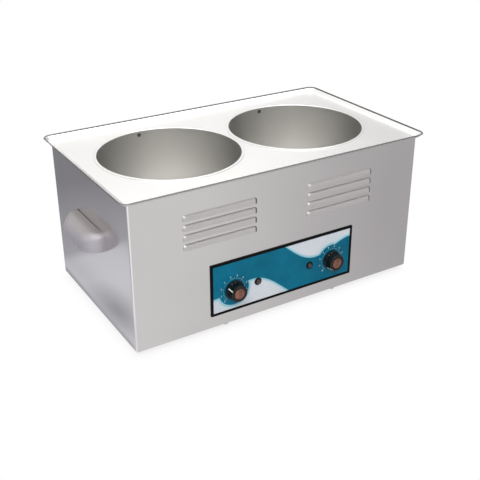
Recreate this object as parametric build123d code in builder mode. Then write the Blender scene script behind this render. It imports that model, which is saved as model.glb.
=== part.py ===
from build123d import *
import math
import os

# Double wax warmer: a folded steel housing with two deep round wells, a control panel with two
# dials and two lamps, a cup handle on each side and four feet.
# Millimetres. +X is to the right of someone facing the dials, +Y is to the rear, +Z is up.
# The origin is on the table, under the middle of the housing.

os.makedirs("parts", exist_ok=True)

# Housing
BODY_W = 400.0            # across the front
BODY_D = 229.0            # front face to rear face
BODY_H = 185.0            # lower edge of the housing to the top of the tray plate
GROUND_GAP = 6.0          # table to the lower edge of the housing
SHEET_T = 1.0             # housing, rear panel and base plate
BEND_R = 2.5              # outer radius of the housing's bends
FLANGE_W = 12.0           # inward flanges round the top, the bottom and the rear
WINDOW_R = 4.0            # corners of the openings inside the flanges

# Louvres pressed out of the front, in two groups
LOUVRE_L = 97.0
LOUVRE_H = 7.0
LOUVRE_PROUD = 2.8
LOUVRE_FLAT = 3.6          # upright face above the mouth
LOUVRE_PITCH = 12.0
LOUVRE_ROWS = 4
LOUVRE_X = (-88.0, 80.0)  # group centres
LOUVRE_TOP_Z = 157.0      # top of the upper row, above the housing's lower edge
LOUVRE_BACK = 1.5         # how far behind the wall the rounded ends turn
LOUVRE_THROUGH = 1.2      # slit's reach behind the front face, less than LOUVRE_BACK
LOUVRE_SWEEP = 85.0       # degrees that each rounded end turns

# Top tray with its flared rim
TRAY_T = 1.2
RIM_OUT = 8.6             # rim reach beyond the housing
RIM_RISE = 6.0            # rim tip above the plate
RIM_BEND_R = 5.0
RIM_FLAT = 1.9            # flat before the bend
RIM_ROOT = 0.5            # rim's start, from the corner's centre
TRAY_CORNER_R = 2.5
PLATE_INSET = 0.1         # flat plate's edge inside the housing's outline
COLLAR_H = 12.0           # down-turned collar round each hole

# Wells
WELL_R = 87.0             # inside
WELL_T = 1.0
WELL_DEPTH = 130.0
WELL_CORNER_R = 12.0
WELL_PITCH = 184.0
WELL_RIM_W = 3.6
WELL_RIM_T = 0.9
WELL_RIM_ROUND = 0.7
WELL_FIT = 0.15           # well wall to collar
RIVET_R = 1.3
RIVET_HEAD_R = 2.4
RIVET_DROP = 4.5          # rivet below the plate's top
RIVET_FIT = 0.05
RIVET_TAIL_R = 2.3
RIVET_TAIL_TIP_R = 1.7
RIVET_TAIL_H = 1.2

# Heater bands and blankets
BAND_T = 3.0
BAND_H = 38.0
BAND_Z = 82.0             # lower edge
BAND_FIT = 0.1
BAND_SPLIT = 6.0
BAND_EAR = 9.0            # ears at the split
BAND_EAR_T = 2.0
BAND_SCREW_OUT = 5.0      # band to its screw
BLANKET_T = 8.5
BLANKET_H = 88.0
BLANKET_Z = 72.0
BLANKET_MOUTH = 80.0      # width of the gap that faces the other well
BLANKET_SLOT = 28.0       # gap for the band's ears
BLANKET_SLOT_OVER = 4.0   # gap's height above the band
BLANKET_FIT = 0.3

# Controls
DIAL_X = 71.5
DIAL_Z = 45.0             # above the housing's lower edge
LAMP_X = 38.0
LAMP_Z = 46.0
PANEL_W = 206.0
PANEL_H = 68.5
PANEL_Z = 50.6
PANEL_T = 1.4
PANEL_BORDER = 3.2
PANEL_R = 0.8
PANEL_EDGE = 0.3
LABEL_T = 0.8
LABEL_FIT = 0.15

KNOB_R = 12.5
KNOB_GRIP_R = 11.6
KNOB_FACE_R = 11.0
KNOB_L = 12.5
KNOB_EDGE = 0.4
KNOB_ROUND = 0.8
KNOB_GAP = 0.7            # knob to label
KNOB_SKIRT_T = 2.4
KNOB_HOLLOW_R = 9.4
KNOB_HOLLOW_L = 4.6
KNOB_FLUTES = 16
KNOB_FLUTE_R = 1.1
KNOB_FLUTE_OUT = 0.4      # flute's axis beyond the grip
KNOB_FLUTE_UP = 1.6       # flute's end above the skirt
CAP_R = 6.6
CAP_T = 1.1
CAP_DOME = 0.7
CAP_FIT = 0.05
POINTER_W = 1.5
POINTER_T = 0.7
POINTER_FIT = 0.05
POINTER_START = 0.3       # cap to the pointer
DIAL_REST = {"left": 60.0, "right": 135.0}   # pointer, degrees anticlockwise from the top

SHAFT_R = 3.0
SHAFT_FLAT = 2.3          # axis to the flat
SHAFT_FIT = 0.06
KNOB_FIT = 0.04
SHAFT_IN = 13.0           # into the thermostat, behind the wall
SHAFT_WEB = 1.6           # knob face in front of the shaft
SHAFT_END_GAP = 0.2       # shaft to the bottom of the knob's bore
SHAFT_END_ROOM = 0.5      # shaft to the bottom of the thermostat's bore

# Thermostats
STAT_W = 40.0
STAT_H = 32.0
STAT_D = 21.0
STAT_PLATE_W = 46.0
STAT_PLATE_H = 36.0
STAT_PLATE_T = 1.5
STAT_PLATE_R = 2.0
STAT_R = 3.0
STAT_TAB_X = 8.0          # dial's axis to the tabs
STAT_TAB_PITCH = 8.0
STAT_TABS = 3
BUSH_R = 4.9
BUSH_HOLE_FIT = 0.2
BUSH_OVER = 0.4           # bush beyond its nut
NUT_T = 2.5
STAT_NUT_AF = 13.0
TAB_W = 6.3
TAB_T = 0.8
TAB_L = 8.0

# Lamps
LAMP_R = 3.9
LAMP_HOLE_FIT = 0.15
LAMP_BEZEL_R = 4.8
LAMP_BEZEL_T = 1.0
LAMP_BEZEL_EDGE = 0.4
LAMP_L = 20.0             # behind the wall
LENS_R = 3.2
LENS_DOME = 1.6
LENS_SEAT = 1.0           # lens's seat behind the label's face
LENS_FIT = 0.05
LAMP_TAB_PITCH = 4.0
LAMP_TAB_W = 3.0
CLIP_R = 6.6
CLIP_T = 0.6

# Cup handles
HANDLE_W = 88.0
HANDLE_H = 22.0
HANDLE_OUT = 25.0
HANDLE_TOP_Z = 121.0      # above the housing's lower edge
HANDLE_CORNER_R = 19.0
HANDLE_T = 2.4
HANDLE_MOUTH_RISE = 10.0  # mouth at the wall above the outer lip
HANDLE_SCREW_Y = 24.0
HANDLE_SCREW_DROP = 6.0   # screw below the handle's top
HANDLE_BOSS_R = 4.4
HANDLE_BOSS_L = 14.0
HANDLE_HOLE_L = 12.0
HANDLE_BITE = 10.0        # screw's reach into its boss

# Fasteners
M4_R = 1.9
M4_HEAD_R = 3.8
M4_HEAD_H = 2.4
M4_NUT_AF = 7.0
M4_NUT_H = 3.2
M3_R = 1.4
M3_NUT_AF = 5.5
M3_NUT_H = 2.4
HOLE_FIT = 0.2            # screw to its hole
THREAD_FIT = 0.05         # screw to its thread
NUT_OVER = 1.5            # screw or stud beyond its nut
PAN_CROWN = 0.72          # flat of a pan head, as a share of its radius
PAN_SIDE = 0.55           # upright side of a pan head, as a share of its height
RECESS_L = 3.8            # cross recess in each head
RECESS_W = 0.9
RECESS_DEPTH = 1.3

TRAY_STUD_IN_X = 76.0     # from the housing's sides
TRAY_STUD_IN_Y = 54.5     # from its front and rear
BASE_SCREW_IN_X = 120.0
BASE_SCREW_IN_Y = 68.5
REAR_SCREW_IN_X = 100.0
REAR_SCREW_Z = 46.0       # from the panel's middle
SCREW_OVER = 3.0          # sheet screw beyond the two sheets

# Feet
FOOT_IN_X = 35.0          # from the housing's sides
FOOT_IN_Y = 29.5          # from its front and rear
FOOT_R = 11.0
FOOT_TIP_R = 9.0
FOOT_RECESS = 2.6
FOOT_RECESS_FIT = 0.6
FOOT_EDGE = 0.6
FOOT_HEAD_H = 2.0

# Base plate
BASE_INSET = 4.0
VENT_L = 44.0
VENT_H = 4.0
VENT_PITCH = 9.0
VENT_ROWS = 5
VENT_X = 92.0

# Cable gland in the rear panel
GLAND_IN_X = 80.0         # from the housing's right side
GLAND_Z = 32.0            # above the housing's lower edge
GLAND_AF = 20.0
GLAND_FLANGE_T = 4.0
GLAND_THREAD_R = 7.9
GLAND_NOSE_R = 7.0
GLAND_NOSE_L = 7.5
GLAND_TAIL_L = 10.0
GLAND_DOME_L = 14.5
GLAND_DOME_TIP_R = 6.6
GLAND_SHOULDER = 8.6      # upright side of the dome nut
GLAND_HEX_L = 7.2         # six-sided part of the dome nut
GLAND_SEAT_GAP = 0.3
GLAND_NUT_FIT = 0.1
GLAND_BORE_R = 4.6
SEAL_R = 3.6
SEAL_OUT_R = 5.9
SEAL_L = 10.0
SEAL_TIP_T = 1.2
SEAL_FIT = 0.05
LOCKNUT_T = 4.0

# Terminal block and earth stud on the base plate
BLOCK_IN_X = 80.0         # from the housing's right side
BLOCK_IN_Y = 44.5         # from its rear
BLOCK_W = 38.0
BLOCK_D = 20.0
BLOCK_H = 17.0
BLOCK_R = 1.5
BLOCK_EDGE = 1.0
BLOCK_LEDGE = 4.0         # block's depth beyond the barrels
BLOCK_POLES = 3
BLOCK_POLE = 11.0
BARREL_R = 3.2
BARREL_BORE_R = 1.7
BARREL_Z = 7.0            # axis above the base plate
SCREW_WELL_FIT = 0.8
TERMINAL_SCREW_L = 6.5
EARTH_IN_X = 45.0
EARTH_IN_Y = 64.5
EARTH_NUT_GAP = 0.2

# Thermal cut-outs and capillary bulbs under the wells
CUTOUT_R = 8.0
CUTOUT_H = 8.5
CUTOUT_Y = 22.0
CUTOUT_PITCH = 24.0
CUTOUT_TAB_W = 8.0
CUTOUT_TAB_T = 0.8
BULB_R = 3.0
BULB_L = 60.0
BULB_Y = -24.0
TUBE_R = 0.9
TUBE_LEAD = 22.0          # straight run beyond the bulb
TUBE_BEND_R = 8.0
TUBE_IN = 10.0            # dial's axis to the tube, towards the middle
SADDLE_W = 10.0
SADDLE_T = 0.8
SADDLE_REACH = 9.0        # bulb axis to the saddle's stud
SADDLE_END = 4.0          # saddle beyond its stud
SADDLE_FIT = 0.1

# Heights and faces worked out from the sizes above
BASE_Z = GROUND_GAP
TOP_Z = BASE_Z + BODY_H
WRAP_TOP_Z = TOP_Z - TRAY_T
FRONT_Y = -BODY_D / 2
REAR_Y = BODY_D / 2
INNER_FRONT_Y = FRONT_Y + SHEET_T
WRAP_REAR_Y = REAR_Y - SHEET_T
WRAP_D = BODY_D - SHEET_T
WRAP_MID_Y = (FRONT_Y + WRAP_REAR_Y) / 2
WELL_X = WELL_PITCH / 2
WELL_OUT_R = WELL_R + WELL_T
HOLE_R = WELL_OUT_R + WELL_FIT
WELL_FLOOR_Z = TOP_Z - WELL_DEPTH
WELL_UNDER_Z = WELL_FLOOR_Z - WELL_T
BAND_IN_R = WELL_OUT_R + BAND_FIT
BAND_OUT_R = BAND_IN_R + BAND_T
DIAL_ABS_Z = BASE_Z + DIAL_Z
LAMP_ABS_Z = BASE_Z + LAMP_Z
PANEL_ABS_Z = BASE_Z + PANEL_Z
LABEL_Y = FRONT_Y - LABEL_T
KNOB_BACK_Y = LABEL_Y - KNOB_GAP
KNOB_FACE_Y = KNOB_BACK_Y - KNOB_L
HANDLE_ABS_TOP_Z = BASE_Z + HANDLE_TOP_Z
HANDLE_LOW_Z = HANDLE_ABS_TOP_Z - HANDLE_H
HANDLE_SCREW_Z = HANDLE_ABS_TOP_Z - HANDLE_SCREW_DROP
BASE_PLATE_Z = BASE_Z - SHEET_T
FLANGE_MID_X = BODY_W / 2 - SHEET_T - (FLANGE_W - SHEET_T) / 2
FLANGE_MID_Y = WRAP_D / 2 - SHEET_T - (FLANGE_W - SHEET_T) / 2
GLAND_X = BODY_W / 2 - GLAND_IN_X
GLAND_ABS_Z = BASE_Z + GLAND_Z
BLOCK_X = BODY_W / 2 - BLOCK_IN_X
BLOCK_Y = REAR_Y - BLOCK_IN_Y
EARTH_X = BODY_W / 2 - EARTH_IN_X
EARTH_Y = REAR_Y - EARTH_IN_Y
TRAY_STUD_L = SHEET_T + M4_NUT_H + NUT_OVER
SHEET_SCREW_L = 2 * SHEET_T + SCREW_OVER
CUTOUT_STUD_L = CUTOUT_TAB_T + M3_NUT_H + NUT_OVER
SADDLE_STUD_L = SADDLE_T + M3_NUT_H + NUT_OVER
EARTH_L = SHEET_T + 2 * (M4_NUT_H + EARTH_NUT_GAP) + NUT_OVER
SIDES = (("left", -1), ("right", 1))

# Places of the fasteners, on the middle lines of the flanges
SIGNS = [(sx, sy) for sx in (-1, 1) for sy in (-1, 1)]
TRAY_STUDS = [(sx * FLANGE_MID_X, sy * (BODY_D / 2 - TRAY_STUD_IN_Y)) for sx, sy in SIGNS]
TRAY_STUDS += [
    (sx * (BODY_W / 2 - TRAY_STUD_IN_X), WRAP_MID_Y + sy * FLANGE_MID_Y) for sx, sy in SIGNS
]
BASE_SCREWS = [(sx * FLANGE_MID_X, sy * (BODY_D / 2 - BASE_SCREW_IN_Y)) for sx, sy in SIGNS]
BASE_SCREWS += [
    (sx * (BODY_W / 2 - BASE_SCREW_IN_X), WRAP_MID_Y + sy * FLANGE_MID_Y) for sx, sy in SIGNS
]
REAR_MID_Z = (BASE_Z + WRAP_TOP_Z) / 2
REAR_HALF_H = (WRAP_TOP_Z - BASE_Z) / 2 - SHEET_T - (FLANGE_W - SHEET_T) / 2
REAR_SCREWS = [(sx * FLANGE_MID_X, REAR_MID_Z + sz * REAR_SCREW_Z) for sx, sz in SIGNS]
REAR_SCREWS += [
    (sx * (BODY_W / 2 - REAR_SCREW_IN_X), REAR_MID_Z + sz * REAR_HALF_H) for sx, sz in SIGNS
]
FEET = [(sx * (BODY_W / 2 - FOOT_IN_X), sy * (BODY_D / 2 - FOOT_IN_Y)) for sx, sy in SIGNS]
UP = (0, 0, 1)
DOWN = (0, 0, -1)
FORWARD = (0, -1, 0)
BACKWARD = (0, 1, 0)


def side_plane(origin, direction):
    """Plane through the line of direction: local y runs along it, local x is the radius."""
    along = Vector(direction)
    across = Vector(0, 1, 0) if abs(along.X) > 0.5 else Vector(1, 0, 0)
    return Plane(origin, x_dir=across, z_dir=across.cross(along))


def turned(origin, direction, outline, mode=Mode.ADD):
    """Turn an outline of (radius, height) points about the line from origin along direction."""
    with BuildSketch(side_plane(origin, direction)) as section:
        with BuildLine():
            Polyline(*outline, close=True)
        make_face()
    revolve(section.sketch, axis=Axis(origin, direction), mode=mode)


def rod(origin, direction, radius, length, mode=Mode.ADD):
    """Round bar, or round hole, from origin along direction."""
    with BuildSketch(Plane(origin, z_dir=direction)) as section:
        Circle(radius)
    extrude(section.sketch, amount=length, mode=mode)


def hexagon(origin, direction, across_flats, length, bore_r):
    """Six-sided nut from origin along direction."""
    with BuildSketch(Plane(origin, z_dir=direction)) as section:
        RegularPolygon(across_flats / 2, 6, major_radius=False)
        Circle(bore_r, mode=Mode.SUBTRACT)
    extrude(section.sketch, amount=length)


def pan_screw(seat, direction, shank_r, head_r, head_h, length):
    """Pan-head screw with a cross recess: the head stands back from its seat, the shank runs along
    direction."""
    turned(seat, direction, [
        (0, length), (shank_r, length), (shank_r, 0), (head_r, 0),
        (head_r, -head_h * PAN_SIDE), (head_r * PAN_CROWN, -head_h), (0, -head_h),
    ])
    crown = Vector(seat) - Vector(direction) * head_h
    with BuildSketch(Plane(crown, z_dir=direction)) as recess:
        Rectangle(RECESS_L, RECESS_W)
        Rectangle(RECESS_W, RECESS_L)
    extrude(recess.sketch, amount=RECESS_DEPTH, mode=Mode.SUBTRACT)


def rounded_block(x_size, y_size, low_z, height, mid_y, corner_r):
    """Upright block with rounded corners in plan."""
    with BuildSketch(Plane.XY.offset(low_z)) as plan:
        with Locations((0, mid_y)):
            RectangleRounded(x_size, y_size, corner_r)
    return extrude(plan.sketch, amount=height)


def hood_section(place, proud, height, through):
    """Section of a hood: upright face, rounded top and the part behind the wall."""
    with BuildSketch(place) as section:
        with BuildLine():
            Line((-proud, 0), (-proud, LOUVRE_FLAT))
            TangentArc((-proud, LOUVRE_FLAT), (0, height), tangent=(0, 1))
            Polyline((0, height), (through, height), (through, 0), (-proud, 0))
        make_face()
    return section.sketch


def hood(half_length, proud, height, through):
    """Pressed hood on the wall plane y = 0, mouth at z = 0: its section run along X and
    turned about an upright line behind the wall at each end."""
    with BuildPart() as form:
        start = Plane.YZ.offset(-half_length)
        extrude(hood_section(start, proud, height, through), amount=2 * half_length)
        for end in (-1, 1):
            turn_axis = Axis((end * half_length, LOUVRE_BACK, 0), (0, 0, end))
            end_section = hood_section(Plane.YZ.offset(end * half_length), proud, height, through)
            revolve(end_section, axis=turn_axis, revolution_arc=LOUVRE_SWEEP)
    return form.part


# Louvre forms: the outer skin is trimmed at the wall, the inner one opens the slit
end_reach = math.sqrt((LOUVRE_BACK + LOUVRE_PROUD) ** 2 - LOUVRE_BACK ** 2)
louvre_half = LOUVRE_L / 2 - end_reach
outer_hood = hood(louvre_half, LOUVRE_PROUD, LOUVRE_H, SHEET_T / 2)
inner_hood = hood(louvre_half, LOUVRE_PROUD - SHEET_T, LOUVRE_H - SHEET_T, LOUVRE_THROUGH)

with BuildPart() as louvre_skin:
    add(outer_hood)
    with BuildSketch(Plane.XZ.offset(-SHEET_T / 2)):
        Rectangle(4 * LOUVRE_L, 4 * LOUVRE_H)
    extrude(amount=4 * LOUVRE_PROUD, mode=Mode.INTERSECT)

with BuildPart() as louvre_slit:
    add(inner_hood)
    with BuildSketch(Plane.XZ.offset(-2 * SHEET_T)):
        Rectangle(4 * LOUVRE_L, 4 * LOUVRE_H)
    extrude(amount=4 * LOUVRE_PROUD, mode=Mode.INTERSECT)

louvre_places = [
    (x, FRONT_Y, BASE_Z + LOUVRE_TOP_Z - LOUVRE_H - row * LOUVRE_PITCH)
    for x in LOUVRE_X
    for row in range(LOUVRE_ROWS)
]

# Housing: front, sides and inward flanges, folded from one sheet
with BuildPart() as housing_core:
    rounded_core = rounded_block(
        BODY_W - 2 * SHEET_T, WRAP_D - 2 * SHEET_T, BASE_Z + SHEET_T,
        WRAP_TOP_Z - BASE_Z - 2 * SHEET_T, WRAP_MID_Y, BEND_R - SHEET_T,
    )

with BuildPart() as housing:
    rounded_block(BODY_W, WRAP_D, BASE_Z, WRAP_TOP_Z - BASE_Z, WRAP_MID_Y, BEND_R)
    fillet(housing.faces().sort_by(Axis.Z)[0].edges(), BEND_R - SHEET_T / 2)
    add(housing_core.part, mode=Mode.SUBTRACT)
    # Openings inside the flanges
    with BuildSketch(Plane.XY.offset(BASE_Z - SHEET_T)):
        with Locations((0, WRAP_MID_Y)):
            RectangleRounded(BODY_W - 2 * FLANGE_W, WRAP_D - 2 * FLANGE_W, WINDOW_R)
    extrude(amount=BODY_H + 2 * SHEET_T, mode=Mode.SUBTRACT)
    with BuildSketch(Plane.XZ.offset(-WRAP_REAR_Y - SHEET_T)):
        with Locations((0, REAR_MID_Z)):
            RectangleRounded(
                BODY_W - 2 * FLANGE_W, WRAP_TOP_Z - BASE_Z - 2 * FLANGE_W, WINDOW_R
            )
    extrude(amount=3 * SHEET_T, mode=Mode.SUBTRACT)
    # Louvres
    for place in louvre_places:
        add(Location(place) * louvre_skin.part)
    for place in louvre_places:
        add(Location(place) * louvre_slit.part, mode=Mode.SUBTRACT)
    # Holes for the controls, handles, tray studs and screws
    for side, sign in SIDES:
        rod((sign * DIAL_X, FRONT_Y - SHEET_T, DIAL_ABS_Z), BACKWARD, BUSH_R + BUSH_HOLE_FIT,
            3 * SHEET_T, Mode.SUBTRACT)
        rod((sign * LAMP_X, FRONT_Y - SHEET_T, LAMP_ABS_Z), BACKWARD, LAMP_R + LAMP_HOLE_FIT,
            3 * SHEET_T, Mode.SUBTRACT)
        for end in (-1, 1):
            rod((sign * (BODY_W / 2 + SHEET_T), end * HANDLE_SCREW_Y, HANDLE_SCREW_Z),
                (-sign, 0, 0), M4_R + HOLE_FIT, 3 * SHEET_T, Mode.SUBTRACT)
    for x, y in TRAY_STUDS:
        rod((x, y, WRAP_TOP_Z + SHEET_T), DOWN, M4_R + HOLE_FIT, 3 * SHEET_T, Mode.SUBTRACT)
    for x, y in BASE_SCREWS:
        rod((x, y, BASE_Z - SHEET_T), UP, M4_R + THREAD_FIT, 3 * SHEET_T, Mode.SUBTRACT)
    for x, z in REAR_SCREWS:
        rod((x, WRAP_REAR_Y + SHEET_T, z), FORWARD, M4_R + THREAD_FIT, 3 * SHEET_T, Mode.SUBTRACT)
housing.part.label = "housing"
export_step(housing.part, "parts/housing.step")

# Rear panel: closes the rear opening from outside
rear_w = BODY_W - 2 * BEND_R
rear_h = WRAP_TOP_Z - BASE_Z - 2 * BEND_R
with BuildPart() as rear_panel:
    with BuildSketch(Plane.XZ.offset(-REAR_Y)):
        with Locations((0, REAR_MID_Z)):
            RectangleRounded(rear_w, rear_h, WINDOW_R)
    extrude(amount=SHEET_T)
    for x, z in REAR_SCREWS:
        rod((x, REAR_Y + SHEET_T, z), FORWARD, M4_R + HOLE_FIT, 3 * SHEET_T, Mode.SUBTRACT)
    rod((GLAND_X, REAR_Y + SHEET_T, GLAND_ABS_Z), FORWARD, GLAND_THREAD_R + HOLE_FIT,
        3 * SHEET_T, Mode.SUBTRACT)
rear_panel.part.label = "rear_panel"
export_step(rear_panel.part, "parts/rear_panel.step")

# Base plate with cooling slots
with BuildPart() as base_plate:
    rounded_block(BODY_W - 2 * BASE_INSET, BODY_D - 2 * BASE_INSET, BASE_PLATE_Z, SHEET_T, 0, WINDOW_R)
    with BuildSketch(Plane.XY.offset(BASE_PLATE_Z)):
        for sign in (-1, 1):
            with Locations((sign * VENT_X, 0)):
                with GridLocations(0, VENT_PITCH, 1, VENT_ROWS):
                    SlotOverall(VENT_L, VENT_H)
    extrude(amount=SHEET_T, mode=Mode.SUBTRACT)
    for x, y in BASE_SCREWS + FEET:
        rod((x, y, BASE_PLATE_Z - SHEET_T), UP, M4_R + HOLE_FIT, 3 * SHEET_T, Mode.SUBTRACT)
    rod((EARTH_X, EARTH_Y, BASE_PLATE_Z - SHEET_T), UP, M4_R + HOLE_FIT, 3 * SHEET_T, Mode.SUBTRACT)
base_plate.part.label = "base_plate"
export_step(base_plate.part, "parts/base_plate.step")

# Top tray: flat plate, flared rim, a collar round each hole and studs welded underneath
half_w = BODY_W / 2 - TRAY_CORNER_R
half_d = BODY_D / 2 - TRAY_CORNER_R
rim_mid_z = TOP_Z - TRAY_T / 2


def rim_section(plane):
    """Section of the flared rim: local x runs outwards from the corner's centre, local y up."""
    with BuildSketch(plane) as section:
        with BuildLine() as run:
            FilletPolyline(
                (RIM_ROOT, 0), (TRAY_CORNER_R + RIM_FLAT, 0),
                (TRAY_CORNER_R + RIM_OUT, RIM_RISE - TRAY_T / 2), radius=RIM_BEND_R,
            )
        trace(run.line, TRAY_T)
    return section.sketch


with BuildPart() as top_tray:
    rounded_block(BODY_W - 2 * PLATE_INSET, BODY_D - 2 * PLATE_INSET, WRAP_TOP_Z, TRAY_T, 0, TRAY_CORNER_R)
    for turn in range(4):
        out = Vector(1, 0, 0).rotate(Axis.Z, 90 * turn)
        along = out.cross(Vector(0, 0, 1))
        reach, run_half = (half_w, half_d) if turn % 2 == 0 else (half_d, half_w)
        start = out * reach - along * run_half + Vector(0, 0, rim_mid_z)
        extrude(rim_section(Plane(start, x_dir=out, z_dir=along)), amount=2 * run_half)
        corner = Plane(start, x_dir=out, z_dir=along)
        revolve(rim_section(corner), axis=Axis(start, (0, 0, 1)), revolution_arc=90)
    for sign in (-1, 1):
        rod((sign * WELL_X, 0, TOP_Z), DOWN, HOLE_R + TRAY_T, COLLAR_H)
    for sign in (-1, 1):
        rod((sign * WELL_X, 0, TOP_Z + SHEET_T), DOWN, HOLE_R, COLLAR_H + 2 * SHEET_T, Mode.SUBTRACT)
        for end in (-1, 1):
            rod((sign * WELL_X, 0, TOP_Z - RIVET_DROP), (0, end, 0), RIVET_R + THREAD_FIT,
                HOLE_R + 2 * TRAY_T, Mode.SUBTRACT)
    for x, y in TRAY_STUDS:
        rod((x, y, WRAP_TOP_Z), DOWN, M4_R, TRAY_STUD_L)
top_tray.part.label = "top_tray"
export_step(top_tray.part, "parts/top_tray.step")

with BuildPart() as tray_nuts:
    for x, y in TRAY_STUDS:
        hexagon((x, y, WRAP_TOP_Z - SHEET_T), DOWN, M4_NUT_AF, M4_NUT_H, M4_R + THREAD_FIT)
tray_nuts.part.label = "tray_nuts"
export_step(tray_nuts.part, "parts/tray_nuts.step")

# Wells: drawn cups whose rims lie on the tray
rim_top_z = TOP_Z + WELL_RIM_T
for side, sign in SIDES:
    well_mid = (sign * WELL_X, 0, 0)
    with BuildPart() as well:
        with BuildSketch(side_plane(well_mid, UP)) as section:
            with BuildLine():
                Polyline(
                    (0, WELL_UNDER_Z), (WELL_OUT_R, WELL_UNDER_Z), (WELL_OUT_R, TOP_Z),
                    (WELL_R + WELL_RIM_W, TOP_Z), (WELL_R + WELL_RIM_W, rim_top_z), (WELL_R, rim_top_z),
                    (WELL_R, WELL_FLOOR_Z), (0, WELL_FLOOR_Z), close=True,
                )
            make_face()
            corners = section.vertices()
            fillet(corners.sort_by_distance((WELL_OUT_R, WELL_UNDER_Z))[0], WELL_CORNER_R + WELL_T)
            corners = section.vertices()
            fillet(corners.sort_by_distance((WELL_R, WELL_FLOOR_Z))[0], WELL_CORNER_R)
            corners = section.vertices()
            fillet(corners.sort_by_distance((WELL_R, rim_top_z))[0], WELL_RIM_ROUND)
        revolve(axis=Axis(well_mid, UP))
        for end in (-1, 1):
            turned((sign * WELL_X, 0, TOP_Z - RIVET_DROP), (0, end, 0), [
                (0, 0), (RIVET_HEAD_R, 0), (RIVET_HEAD_R, WELL_R),
                (RIVET_R, WELL_R + WELL_T), (RIVET_R, WELL_R + 2 * WELL_T), (0, WELL_R + 2 * WELL_T),
            ], Mode.SUBTRACT)
            rod((sign * WELL_X + end * CUTOUT_PITCH / 2, CUTOUT_Y, WELL_UNDER_Z), DOWN, M3_R, CUTOUT_STUD_L)
        rod((sign * WELL_X, BULB_Y - SADDLE_REACH, WELL_UNDER_Z), DOWN, M3_R, SADDLE_STUD_L)
    well.part.label = f"{side}_well"
    export_step(well.part, f"parts/{side}_well.step")

# Rivets through each well and its collar, flush inside the well
rivet_shank_r = RIVET_R - RIVET_FIT
with BuildPart() as well_rivets:
    for sign in (-1, 1):
        for end in (-1, 1):
            tail = HOLE_R + TRAY_T + RIVET_FIT
            turned((sign * WELL_X, 0, TOP_Z - RIVET_DROP), (0, end, 0), [
                (0, WELL_R), (RIVET_HEAD_R - 2 * RIVET_FIT, WELL_R), (rivet_shank_r, WELL_R + WELL_T),
                (rivet_shank_r, tail), (RIVET_TAIL_R, tail), (RIVET_TAIL_TIP_R, tail + RIVET_TAIL_H),
                (0, tail + RIVET_TAIL_H),
            ])
well_rivets.part.label = "well_rivets"
export_step(well_rivets.part, "parts/well_rivets.step")

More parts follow.
